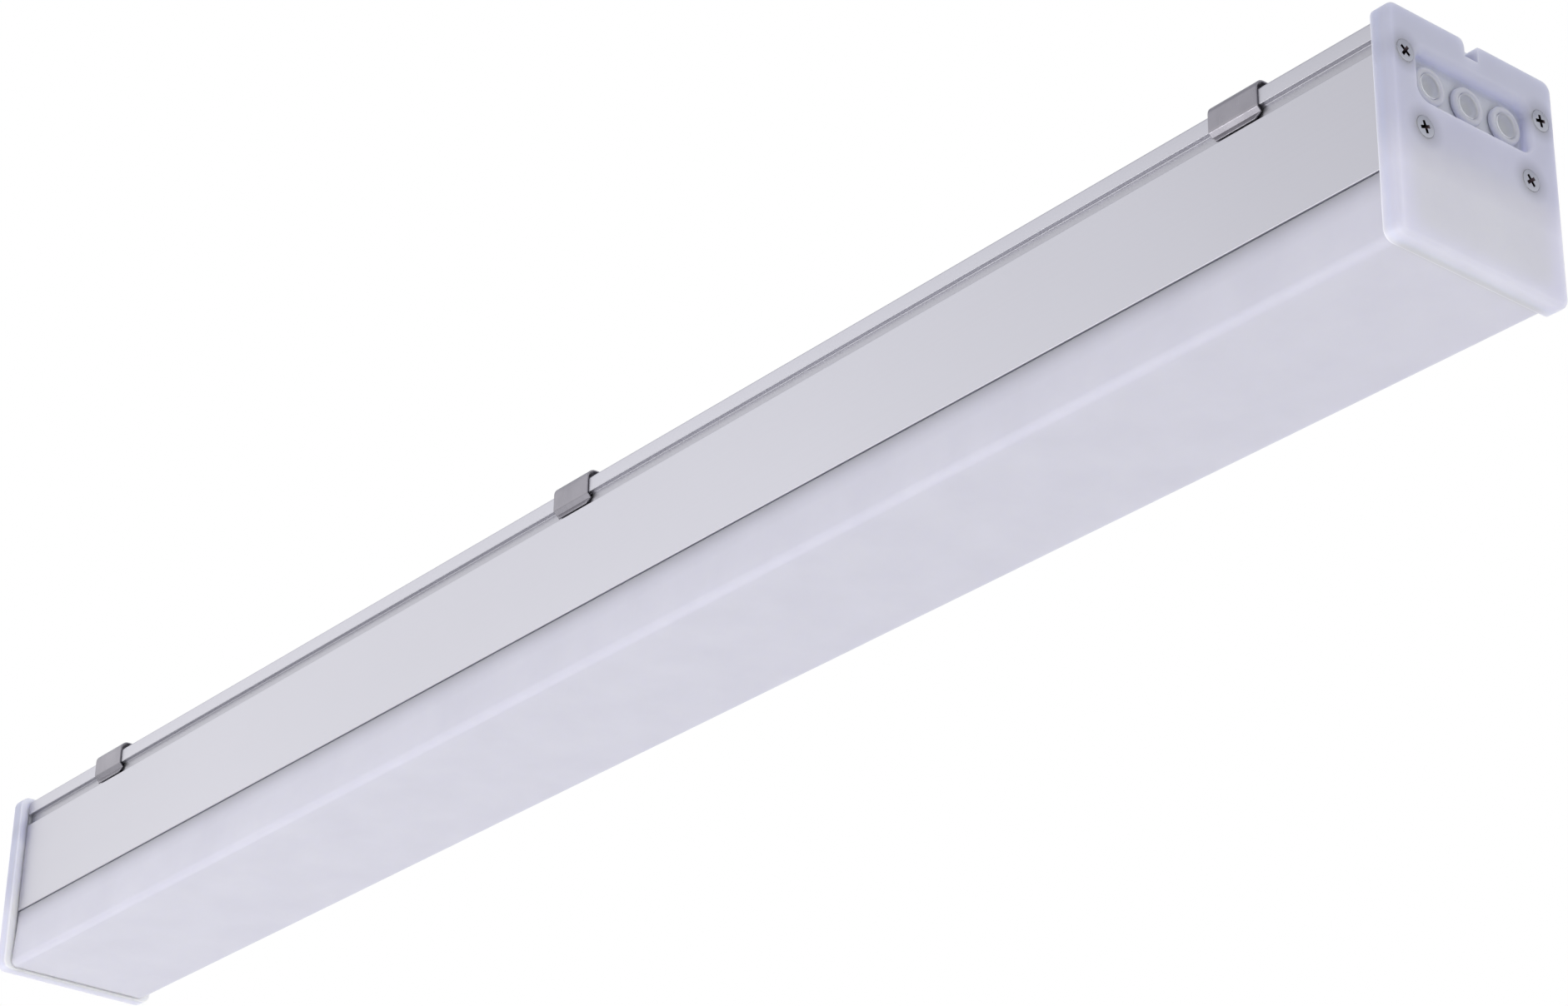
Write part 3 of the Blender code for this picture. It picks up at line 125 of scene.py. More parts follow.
# diffuser section
Y_DIFFUSER = DIFFUSER_HIGH.y
Z_DIFFUSER = DIFFUSER_LOW.z
Z_SHOULDER = Z_HOUSING - SEAM
DIFFUSER_WALL = 1.6 * MM
DIFFUSER_FLARE = 0.8 * MM
DIFFUSER_CORNER = 2.0 * MM
DIFFUSER_INNER_CORNER = 1.0 * MM
DIFFUSER_LEG = 1.5 * MM
DIFFUSER_SHOULDER = 1.6 * MM
DIFFUSER_HOOK = 1.2 * MM
Y_RIB = Y_LEG - DIFFUSER_LEG - GAP - HOOK_REACH
Y_SHOULDER = Y_DIFFUSER - DIFFUSER_FLARE

# end caps
CAP_CORNER = 2.9 * MM
CAP_EDGE = 1.3 * MM
CAP_BACK_EDGE = 0.3 * MM
CAP_WALL = 4.4 * MM
GASKET_INSET = 0.5 * MM
GASKET_CORNER = 3.0 * MM
CORE_SIDE = 3.3 * MM
CORE_BOTTOM = 3.4 * MM
CORE_CORNER = 3.0 * MM
CORE_SKIN = 2.0 * MM
POCKET_HALF_WIDTH = 18.3 * MM
POCKET_HALF_HEIGHT = 6.5 * MM
POCKET_CORNER = 3.0 * MM
POCKET_DEPTH = 3.4 * MM
POCKET_LOW_ROUND = 0.45 * MM
POCKET_HIGH_ROUND = 2.4 * MM
POCKET_FLOOR_ROUND = 0.9 * MM
NOTCH_HALF_WIDTH = 2.2 * MM
NOTCH_HEIGHT = 5.0 * MM
NOTCH_DEPTH_SHARE = 0.886
NOTCH_ROUND = 3.0 * MM
NOTCH_SLOPE_DROP = 0.8 * MM
NOTCH_SLOPE_RUN = 4.5 * MM
NOTCH_EDGE = 0.2 * MM
X_CAP_INSIDE = X_END - CAP_WALL
NOTCH_DEPTH = NOTCH_DEPTH_SHARE * CAP_WALL

# cable entries
ENTRY_PITCH = 12.5 * MM
Z_ENTRY = 43.51 * MM
Z_POCKET = Z_ENTRY - POCKET_HALF_HEIGHT
Z_POCKET_TOP = Z_ENTRY + POCKET_HALF_HEIGHT
GROMMET_RADIUS = 4.8 * MM
GROMMET_BORE = 3.1 * MM
GROMMET_NECK = 4.0 * MM
GROMMET_SETBACK = 1.7 * MM
GROMMET_FLANGE_RADIUS = 5.0 * MM
GROMMET_FLANGE = 1.4 * MM
GROMMET_MEMBRANE = 0.6 * MM
GROMMET_DISH = 1.7 * MM
DISH_SHARES = (0.3, 0.6, 0.8, 0.92, 0.98)
DISH_POWER = 4

# cap screws
SCREW_SHANK = 1.35 * MM
SCREW_HEAD = 2.75 * MM
SCREW_HEAD_HEIGHT = 1.6 * MM
SCREW_RIM = 0.3 * MM
SCREW_EDGE = 0.12 * MM
SEAT_SEAM = 0.03 * MM
SEAT_RIM = 0.05 * MM
SCREW_LENGTH = 14.0 * MM
SCREW_POINT = 1.2 * MM
RECESS_REACH = 1.6 * MM
RECESS_HALF_WIDTH = 0.42 * MM
RECESS_DEPTH = 1.5 * MM
RECESS_TIP_SHARE = 0.45
RECESS_TIP_WIDTH_SHARE = 0.78
SCREW_TURNS = (12.0, 55.0, 38.0, 20.0)

# spring clips
CLIP_WIDTH = 15.8 * MM
CLIP_SHEET = 0.45 * MM
CLIP_RISE = 2.7 * MM
CLIP_BEND = 2.4 * MM
CLIP_FOLD = 0.8 * MM
CLIP_TOE_FOLD = 0.3 * MM
CLIP_KNEE_DROP = 0.15 * MM
CLIP_TOE_DROP = 1.35 * MM
CLIP_TAIL_DROP = 3.0 * MM
CLIP_TAIL_FLARE = 0.5 * MM
CLIP_TAIL_TAPER = 1.6 * MM
CLIP_EDGE = 0.12 * MM
CLIP_EDGE_STEPS = 2
CLIP_EDGE_ANGLE = math.radians(50)
CLIP_HOLE_RADIUS = 2.2 * MM
CLIP_HOLE_SPACING = 24.0 * MM
CLIP_HOLE_CUT = 3.0 * MM

# facets
FINE_STEPS = 12
CORNER_STEPS = 8
EDGE_STEPS = 3
ROUND_SIDES = 72
HOLE_SIDES = 48
PORT_SIDES = 24
SMOOTH_ANGLE = math.radians(32)
STRAIGHT_ANGLE = math.radians(175)
FILLET_SHARE = 0.49
SOFT_SHARE = 0.25


def link(item):
    bpy.context.scene.collection.objects.link(item)
    return item


def mesh_object(name, shape):
    """A new object from a bmesh, which is used up."""
    mesh = bpy.data.meshes.new(name)
    bmesh.ops.recalc_face_normals(shape, faces=shape.faces)
    shape.to_mesh(mesh)
    shape.free()
    return link(bpy.data.objects.new(name, mesh))


def arc(centre, radius, start, end, steps=CORNER_STEPS):
    """Points on an arc from the start angle to the end angle, in degrees."""
    turns = [math.radians(start + (end - start) * step / steps) for step in range(steps + 1)]
    return [(centre[0] + radius * math.cos(turn), centre[1] + radius * math.sin(turn))
            for turn in turns]


def circle(centre, radius, sides=ROUND_SIDES):
    return arc(centre, radius, 0.0, 360.0, sides)[:-1]


def mirrored(half):
    """A whole outline from its +Y half."""
    return half + [(-across, up) for across, up in reversed(half)]


def fillet(before, corner, after, radius, steps):
    """The arc that rounds the corner, or the corner itself where it can't be rounded."""
    corner = Vector(corner)
    to_before = Vector(before) - corner
    to_after = Vector(after) - corner
    angle = to_before.angle(to_after)
    if radius <= 0.0 or angle > STRAIGHT_ANGLE:
        return [tuple(corner)]
    reach = radius / math.tan(angle / 2)
    longest = FILLET_SHARE * min(to_before.length, to_after.length)
    if reach > longest:
        radius *= longest / reach
        reach = longest
    bisector = (to_before.normalized() + to_after.normalized()).normalized()
    middle = corner + bisector * (radius / math.sin(angle / 2))
    start = corner + to_before.normalized() * reach - middle
    end = corner + to_after.normalized() * reach - middle
    turn = math.atan2(start.x * end.y - start.y * end.x, start.dot(end))
    spins = [Matrix.Rotation(turn * step / steps, 2) for step in range(steps + 1)]
    return [tuple(middle + spin @ start) for spin in spins]


def rounded(outline, radius, steps=EDGE_STEPS):
    """The closed outline with its corners rounded; a point's third number is its own radius."""
    made = []
    count = len(outline)
    for number, point in enumerate(outline):
        before, after = outline[number - 1], outline[(number + 1) % count]
        own = point[2] if len(point) > 2 else radius
        made += fillet(before[:2], point[:2], after[:2], own, steps)
    return made


def rounded_rectangle(half_width, bottom, top, radius, steps=CORNER_STEPS):
    low = arc((half_width - radius, bottom + radius), radius, -90.0, 0.0, steps)
    high = arc((half_width - radius, top - radius), radius, 0.0, 90.0, steps)
    return mirrored(low + high)


def extrusion(name, outlines, x_low, x_high):
    """A bar along X whose section is the first outline of (y, z) points, less the others."""
    curve = bpy.data.curves.new(name, "CURVE")
    curve.dimensions = "2D"
    curve.fill_mode = "BOTH"
    curve.extrude = (x_high - x_low) / 2
    for outline in outlines:
        spline = curve.splines.new("POLY")
        spline.points.add(len(outline) - 1)
        for point, (across, up) in zip(spline.points, outline):
            point.co = (across, up, 0.0, 1.0)
        spline.use_cyclic_u = True
    item = link(bpy.data.objects.new(name, curve))
    item.location = ((x_low + x_high) / 2, 0.0, 0.0)
    item.rotation_euler = (math.pi / 2, 0.0, math.pi / 2)
    return baked(item)


def lofted(name, rings):
    """A closed skin through rings with the same number of points, flat at both ends."""
    shape = bmesh.new()
    made = [[shape.verts.new(point) for point in ring] for ring in rings]
    for first, second in zip(made, made[1:]):
        for number in range(len(first)):
            shape.faces.new((first[number - 1], first[number], second[number], second[number - 1]))
    shape.faces.new(made[0])
    shape.faces.new(list(reversed(made[-1])))
    return mesh_object(name, shape)


def turned(name, profile, origin, side, sides=ROUND_SIDES):
    """A piece turned on an axis along X, from (radius, distance) points that end on the axis."""
    shape = bmesh.new()
    rings = []
    for radius, distance in profile:
        x = origin[0] + side * distance
        if radius <= WELD:
            rings.append([shape.verts.new((x, origin[1], origin[2]))])
            continue
        points = circle(origin[1:], radius, sides)
        rings.append([shape.verts.new((x, across, up)) for across, up in points])
    for first, second in zip(rings, rings[1:]):
        for number in range(sides):
            corners = [first[(number - 1) % len(first)], first[number % len(first)],
                       second[number % len(second)], second[(number - 1) % len(second)]]
            shape.faces.new(list(dict.fromkeys(corners)))
    return mesh_object(name, shape)


def baked(item):
    """The item as a plain mesh in world places, with its modifiers applied."""
    name = item.name
    bpy.context.view_layer.update()
    graph = bpy.context.evaluated_depsgraph_get()
    mesh = bpy.data.meshes.new_from_object(item.evaluated_get(graph))
    mesh.transform(item.matrix_world)
    shape = bmesh.new()
    shape.from_mesh(mesh)
    bmesh.ops.remove_doubles(shape, verts=shape.verts, dist=WELD)
    bmesh.ops.dissolve_degenerate(shape, edges=shape.edges, dist=SLIVER)
    bmesh.ops.recalc_face_normals(shape, faces=shape.faces)
    shape.to_mesh(mesh)
    shape.free()
    bpy.data.objects.remove(item, do_unlink=True)
    made = link(bpy.data.objects.new(name, mesh))
    made.data.materials.clear()
    return made


def carved(item, cutters):
    """The item less the cutters, which are used up."""
    for cutter in cutters:
        change = item.modifiers.new("cut", "BOOLEAN")
        change.operation = "DIFFERENCE"
        change.solver = "EXACT"
        change.object = cutter
    made = baked(item)
    for cutter in cutters:
        bpy.data.objects.remove(cutter, do_unlink=True)
    return made


def smooth(item):
    """Smooth shading with sharp edges kept."""
    item.data.shade_smooth()
    item.data.set_sharp_from_angle(angle=SMOOTH_ANGLE)
    item.modifiers.new("normals", "WEIGHTED_NORMAL").keep_sharp = True


def dress(item, material, slot, body, *nodes):
    """Gives a finished piece its material and its place in the frame."""
    smooth(item)
    item.data.materials.append(material)
    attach(item, body)
    if nodes:
        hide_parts(*nodes)


def port_places():
    """The (y, z) places of an end cap's four screws."""
    return [(side * across, up) for across, up in (UPPER_PORT, LOWER_PORT) for side in (1, -1)]


def make_housing(material):
    """The channel: side grooves, screw ports, an inner web and hooks for the diffuser's legs."""
    port_bottom = LOWER_PORT[1] - PORT_HALF
    port_inner = LOWER_PORT[0] - PORT_HALF
    rib_inner = Y_RIB - HOOK_THICKNESS
    hook_end = Y_RIB + HOOK_REACH
    hook_top = Z_HOOK + HOOK_THICKNESS
    half = [
        (Y_OUTER, Z_TOP, FLANGE_RADIUS), (Y_OUTER, Z_FLANGE), (Y_GROOVE, Z_FLANGE),
        (Y_GROOVE, Z_GROOVE), (Y_OUTER, Z_GROOVE), (Y_OUTER, Z_HOUSING), (Y_INNER, Z_HOUSING),
        (Y_INNER, Z_WEB), (Y_RIB, Z_WEB), (Y_RIB, hook_top), (hook_end, hook_top),
        (hook_end, Z_HOOK), (rib_inner, Z_HOOK), (rib_inner, port_bottom),
        (port_inner, port_bottom), (port_inner, Z_WEB)]
    outer = half + [(-point[0], *point[1:]) for point in reversed(half)]
    upper_inner = UPPER_PORT[0] - PORT_HALF
    groove_inner = Y_GROOVE - GROOVE_WALL
    port_top = LOWER_PORT[1] + PORT_HALF
    chamber = mirrored([
        (groove_inner, Z_TOP - TOP_WALL), (groove_inner, UPPER_PORT[1] + PORT_HALF),
        (upper_inner, UPPER_PORT[1] + PORT_HALF), (upper_inner, UPPER_PORT[1] - PORT_HALF),
        (Y_INNER, UPPER_PORT[1] - PORT_HALF), (Y_INNER, Z_WEB_TOP),
        (LOWER_PORT[0] + PORT_HALF, Z_WEB_TOP), (LOWER_PORT[0] + PORT_HALF, port_top),
        (port_inner, port_top), (port_inner, Z_WEB_TOP)])
    holes = [circle(place, PORT_RADIUS, PORT_SIDES) for place in port_places()]
    outlines = [rounded(outer, EDGE_RADIUS), chamber] + holes
    item = extrusion("channel", outlines, -X_HOUSING, X_HOUSING)
    dress(item, material, "aluminium", "light", "housing")


def make_diffuser(material):
    """The U-shaped cover, with legs that hook into the channel."""
    wall_inner = Y_DIFFUSER - DIFFUSER_WALL
    leg_inner = Y_LEG - DIFFUSER_LEG
    hook_bottom = Z_HOOK + HOOK_THICKNESS + GAP
    hook_top = hook_bottom + DIFFUSER_HOOK
    hook_end = Y_RIB + GAP
    shoulder_bottom = Z_SHOULDER - DIFFUSER_SHOULDER
    centre = (Y_DIFFUSER - DIFFUSER_CORNER, Z_DIFFUSER + DIFFUSER_CORNER)
    inner_centre = (
        wall_inner - DIFFUSER_INNER_CORNER, Z_DIFFUSER + DIFFUSER_WALL + DIFFUSER_INNER_CORNER)
    outer = arc(centre, DIFFUSER_CORNER, -90.0, 0.0, FINE_STEPS)
    inner = arc(inner_centre, DIFFUSER_INNER_CORNER, 0.0, -90.0, FINE_STEPS)
    shoulder = fillet(
        (Y_DIFFUSER, centre[1]), (Y_SHOULDER, Z_SHOULDER), (Y_LEG, Z_SHOULDER), EDGE_RADIUS,
        EDGE_STEPS)
    half = outer + shoulder + [
        (Y_LEG, Z_SHOULDER), (Y_LEG, hook_top), (hook_end, hook_top), (hook_end, hook_bottom),
        (leg_inner, hook_bottom), (leg_inner, shoulder_bottom),
        (Y_SHOULDER - DIFFUSER_WALL, shoulder_bottom)] + inner
    item = extrusion("diffuser_cover", [mirrored(half)], -X_HOUSING, X_HOUSING)
    dress(item, material, "milky_diffuser", "light", "diffuser")


def cap_body(name, side):
    """The cap's outer block: long edges rounded, the edge of its end face rounded more finely."""
    steps = [(CAP_LOW.x, CAP_BACK_EDGE), (CAP_LOW.x + CAP_BACK_EDGE, 0.0)]
    for across, along in arc((0.0, 0.0), CAP_EDGE, 0.0, 90.0):
        steps.append((X_END - CAP_EDGE + along, CAP_EDGE - across))
    rings = []
    for x, inset in steps:
        outline = rounded_rectangle(
            CAP_HALF_WIDTH - inset, inset, CAP_HEIGHT - inset, CAP_CORNER - inset)
        rings.append([(side * x, across, up) for across, up in outline])
    return lofted(name, rings)


def outward(outline):
    """The outward direction at each point of a closed outline that runs anticlockwise."""
    made = []
    for before, after in zip(outline[-1:] + outline[:-1], outline[1:] + outline[:1]):
        along = (Vector(after) - Vector(before)).normalized()
        made.append(Vector((along.y, -along.x)))
    return made


def mouth_cutter(name, side, outline, depth, low_round, high_round, floor_round):
    """A cutter that goes into the end face; its mouth flares, so the hole's rim comes out rounded.

    The rim's radius goes from low_round where the outline faces down to high_round where it
    faces up.
    """
    normals = outward(outline)
    quarter = [math.radians(90.0 * step / CORNER_STEPS) for step in range(CORNER_STEPS + 1)]
    levels = [("out", 0.0)] + [(kind, turn) for kind in ("rim", "floor") for turn in quarter]
    rings = []
    for kind, turn in levels:
        ring = []
        for point, normal in zip(outline, normals):
            rim = low_round + (high_round - low_round) * (normal.y + 1) / 2
            if kind == "out":
                inward, offset = -OVERRUN, rim
            elif kind == "rim":
                inward, offset = rim * (1 - math.cos(turn)), rim * (1 - math.sin(turn))
            else:
                inward = depth - floor_round * (1 - math.sin(turn))
                offset = -floor_round * (1 - math.cos(turn))
            moved = Vector(point) + normal * offset
            ring.append((side * (X_END - inward), moved.x, moved.y))
        rings.append(ring)
    return lofted(name, rings)


def notch_outline(side):
    """The notch: rounded off on one side, slightly sloped on the other, turned at the far end."""
    low = CAP_HEIGHT - NOTCH_HEIGHT
    rounded_end = NOTCH_HALF_WIDTH + NOTCH_ROUND
    sloped_end = NOTCH_HALF_WIDTH + NOTCH_SLOPE_RUN
    outline = [
        (-NOTCH_HALF_WIDTH, low), (NOTCH_HALF_WIDTH, low),
        (NOTCH_HALF_WIDTH, CAP_HEIGHT - NOTCH_SLOPE_DROP), (sloped_end, CAP_HEIGHT),
        (sloped_end, CAP_HEIGHT + OVERRUN), (-rounded_end, CAP_HEIGHT + OVERRUN)]
    outline += arc((-rounded_end, CAP_HEIGHT - NOTCH_ROUND), NOTCH_ROUND, 90.0, 0.0)
    if side < 0:
        return [(-across, up) for across, up in reversed(outline)]
    return outline


def span(side, start, end):
    """The two places along X on one side of the light, the lower one first."""
    return min(side * start, side * end), max(side * start, side * end)


def screw_seat(name, side, across, up):
    """A cutter for a screw's countersunk seat, with a softened mouth, and its hole."""
    head = SCREW_HEAD + SEAT_SEAM
    mouth = head + SEAT_RIM
    soft = SOFT_SHARE * SEAT_RIM
    shank = SCREW_SHANK + GAP
    depth = SCREW_RIM + SCREW_HEAD_HEIGHT + GAP
    reach = CAP_HIGH.x - CAP_LOW.x + OVERRUN
    profile = [
        (0.0, OVERRUN), (mouth, OVERRUN), (mouth, 0.0), (head + soft, -soft), (head, -SEAT_RIM),
        (head, -SCREW_RIM), (shank, -depth), (shank, -reach), (0.0, -reach)]
    return turned(name, profile, (side * X_END, across, up), side, HOLE_SIDES)


def entry_places():
    """The places of an end cap's cable entries along Y."""
    return [-ENTRY_PITCH, 0.0, ENTRY_PITCH]


def make_cap(name, side, material):
    """An end cap: hollowed from behind, with its pocket, notch, cable entries and screw seats."""
    inset = GASKET_INSET - GAP
    recess = rounded_rectangle(
        Y_OUTER - inset, Z_DIFFUSER + inset, Z_TOP - inset, GASKET_CORNER + GAP)
    core = rounded_rectangle(
        Y_OUTER - CORE_SIDE, Z_DIFFUSER + CORE_BOTTOM, LOWER_PORT[1] - PORT_HALF - GAP, CORE_CORNER)
    pocket = rounded_rectangle(POCKET_HALF_WIDTH, Z_POCKET, Z_POCKET_TOP, POCKET_CORNER)
    notch = notch_outline(side)
    entry_span = span(side, X_CAP_INSIDE - OVERRUN, X_END - GROMMET_SETBACK)
    cutters = [
        extrusion("recess_cutter", [recess], *span(side, CAP_LOW.x - OVERRUN, X_CAP_INSIDE)),
        extrusion("core_cutter", [core], *span(side, X_CAP_INSIDE - OVERRUN, X_END - CORE_SKIN)),
        mouth_cutter(
            "pocket_cutter", side, pocket, POCKET_DEPTH, POCKET_LOW_ROUND, POCKET_HIGH_ROUND,
            POCKET_FLOOR_ROUND),
        mouth_cutter("notch_cutter", side, notch, NOTCH_DEPTH, NOTCH_EDGE, NOTCH_EDGE, NOTCH_EDGE)]
    for across in entry_places():
        hole = circle((across, Z_ENTRY), GROMMET_NECK + GAP, HOLE_SIDES)
        cutters.append(extrusion("entry_cutter", [hole], *entry_span))
    for across, up in port_places():
        cutters.append(screw_seat("seat_cutter", side, across, up))
    item = carved(cap_body(name + "_shell", side), cutters)
    dress(item, material, "milky_cap", "light", name + "_end_cap")


def make_grommet(name, node, side, across, material):
    """A soft ring whose lip is fully round, a neck through the cap and a thin dished membrane."""
    wall = GROMMET_RADIUS - GROMMET_BORE
    neck_start = GROMMET_SETBACK + GAP - POCKET_DEPTH
    neck_end = GROMMET_SETBACK - CAP_WALL - GAP
    tail = neck_end - GROMMET_FLANGE
    lip = [(GROMMET_BORE + wall / 2 - out, up - wall / 2)
           for out, up in arc((0.0, 0.0), wall / 2, 0.0, 180.0, FINE_STEPS)]
    dish = [(GROMMET_BORE * share, GROMMET_DISH * (share ** DISH_POWER - 1))
            for share in DISH_SHARES]
    back = -GROMMET_DISH - GROMMET_MEMBRANE
    profile = [(0.0, -GROMMET_DISH)] + dish + lip + [
        (GROMMET_RADIUS, neck_start), (GROMMET_NECK, neck_start), (GROMMET_NECK, neck_end),
        (GROMMET_FLANGE_RADIUS, neck_end), (GROMMET_FLANGE_RADIUS, tail), (GROMMET_BORE, tail),
        (GROMMET_BORE, back), (0.0, back)]
    front = side * (X_END - GROMMET_SETBACK)
    item = turned(name, profile, (front, across, Z_ENTRY), side)
    dress(item, material, "silicone", "light", node)


def cross_outline(reach, half_width):
    """The outline of a cross with four equal arms."""
    quarter = [(reach, -half_width), (reach, half_width), (half_width, half_width)]
    made = []
    for turn in range(4):
        spin = Matrix.Rotation(turn * math.pi / 2, 2)
        made += [tuple(spin @ Vector(point)) for point in quarter]
    return made


def make_cap_screw(name, node, side, across, up, turn, material):
    """A countersunk screw with a tapered cross recess, turned to its own angle."""
    soft = SOFT_SHARE * SCREW_EDGE
    profile = [
        (0.0, 0.0), (SCREW_HEAD - SCREW_EDGE, 0.0), (SCREW_HEAD - soft, -soft),
        (SCREW_HEAD, -SCREW_EDGE), (SCREW_HEAD, -SCREW_RIM),
        (SCREW_SHANK, -SCREW_RIM - SCREW_HEAD_HEIGHT), (SCREW_SHANK, SCREW_POINT - SCREW_LENGTH),
        (SCREW_SHANK / 2, -SCREW_LENGTH), (0.0, -SCREW_LENGTH)]
    item = turned(name, profile, (side * X_END, across, up), side, HOLE_SIDES)
    spin = Matrix.Rotation(math.radians(turn), 2)
    mouth = cross_outline(RECESS_REACH, RECESS_HALF_WIDTH)
    tip = cross_outline(
        RECESS_REACH * RECESS_TIP_SHARE, RECESS_HALF_WIDTH * RECESS_TIP_WIDTH_SHARE)
    rings = []
    for inward, outline in ((-OVERRUN, mouth), (0.0, mouth), (RECESS_DEPTH, tip)):
        points = [spin @ Vector(point) for point in outline]
        x = side * (X_END - inward)
        rings.append([(x, across + point.x, up + point.y) for point in points])
    item = carved(item, [lofted("recess_cutter", rings)])
    dress(item, material, "zinc", "light", node)


def clip_line():
    """The middle line of the sheet as (y, z) points, from one tail over the strap to the other."""
    half = CLIP_SHEET / 2
    leg = Y_OUTER + SEAM + half
    toe = Y_GROOVE + GAP + half
    top = Z_TOP + CLIP_RISE - half
    corners = [
        (0.0, top, 0.0), (leg, top, CLIP_BEND), (leg, Z_FLANGE - CLIP_KNEE_DROP, CLIP_FOLD),
        (toe, Z_FLANGE - CLIP_TOE_DROP, CLIP_TOE_FOLD),
        (toe + CLIP_TAIL_FLARE, Z_FLANGE - CLIP_TAIL_DROP, 0.0)]
    path = []
    for before, corner, after in zip(corners, corners[1:], corners[2:]):
        path += fillet(before[:2], corner[:2], after[:2], corner[2], CORNER_STEPS)
    path.append(corners[-1][:2])
    return [(-across, up) for across, up in reversed(path)] + path


def upright_cutter(name, radius, x, y, z):
    """A cutter for an upright hole through sheet whose top is at z."""
    rings = []
    for level in (z - CLIP_HOLE_CUT, z + OVERRUN):
        rings.append([(x + along, y + across, level)
                      for along, across in circle((0.0, 0.0), radius, HOLE_SIDES)])
    return lofted(name, rings)


def make_clip(name, node, material):
    """A bent strip of sheet whose tails narrow below the toe, with two screw holes in its strap."""
    low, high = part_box(node)
    middle_x = (low.x + high.x) / 2
    line = [Vector(point) for point in clip_line()]
    toe_z = Z_FLANGE - CLIP_TOE_DROP
    tail_z = line[0].y
    rows = []
    for number, point in enumerate(line):
        before, after = line[max(number - 1, 0)], line[min(number + 1, len(line) - 1)]
        along = (after - before).normalized()
        aside = Vector((-along.y, along.x)) * CLIP_SHEET / 2
        share = max(0.0, min(1.0, (toe_z - point.y) / (toe_z - tail_z)))
        half_width = CLIP_WIDTH / 2 - CLIP_TAIL_TAPER * share
        row = []
        for offset, side in ((aside, -1), (aside, 1), (-aside, 1), (-aside, -1)):
            corner = point + offset
            row.append((middle_x + side * half_width, corner.x, corner.y))
        rows.append(row)
    cutters = [
        upright_cutter("hole_cutter", CLIP_HOLE_RADIUS, middle_x, across, high.z)
        for across in (-CLIP_HOLE_SPACING / 2, CLIP_HOLE_SPACING / 2)]
    item = carved(lofted(name, rows), cutters)
    edges = item.modifiers.new("edges", "BEVEL")
    edges.width = CLIP_EDGE
    edges.segments = CLIP_EDGE_STEPS
    edges.limit_method = "ANGLE"
    edges.angle_limit = CLIP_EDGE_ANGLE
    dress(item, material, "stainless", frame["nodes"][node]["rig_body"], node)


# materials
NOISE_LOW = 0.3
NOISE_HIGH = 0.7
FINE_BUMP = 0.02 * MM
GRAIN_BUMP = 0.03 * MM
MIX_INPUTS = (0, 6, 7)
MIX_OUTPUT = 2
SUBSURFACE_WEIGHT = 0.85
SUBSURFACE_RADIUS = (1.0, 1.0, 1.15)


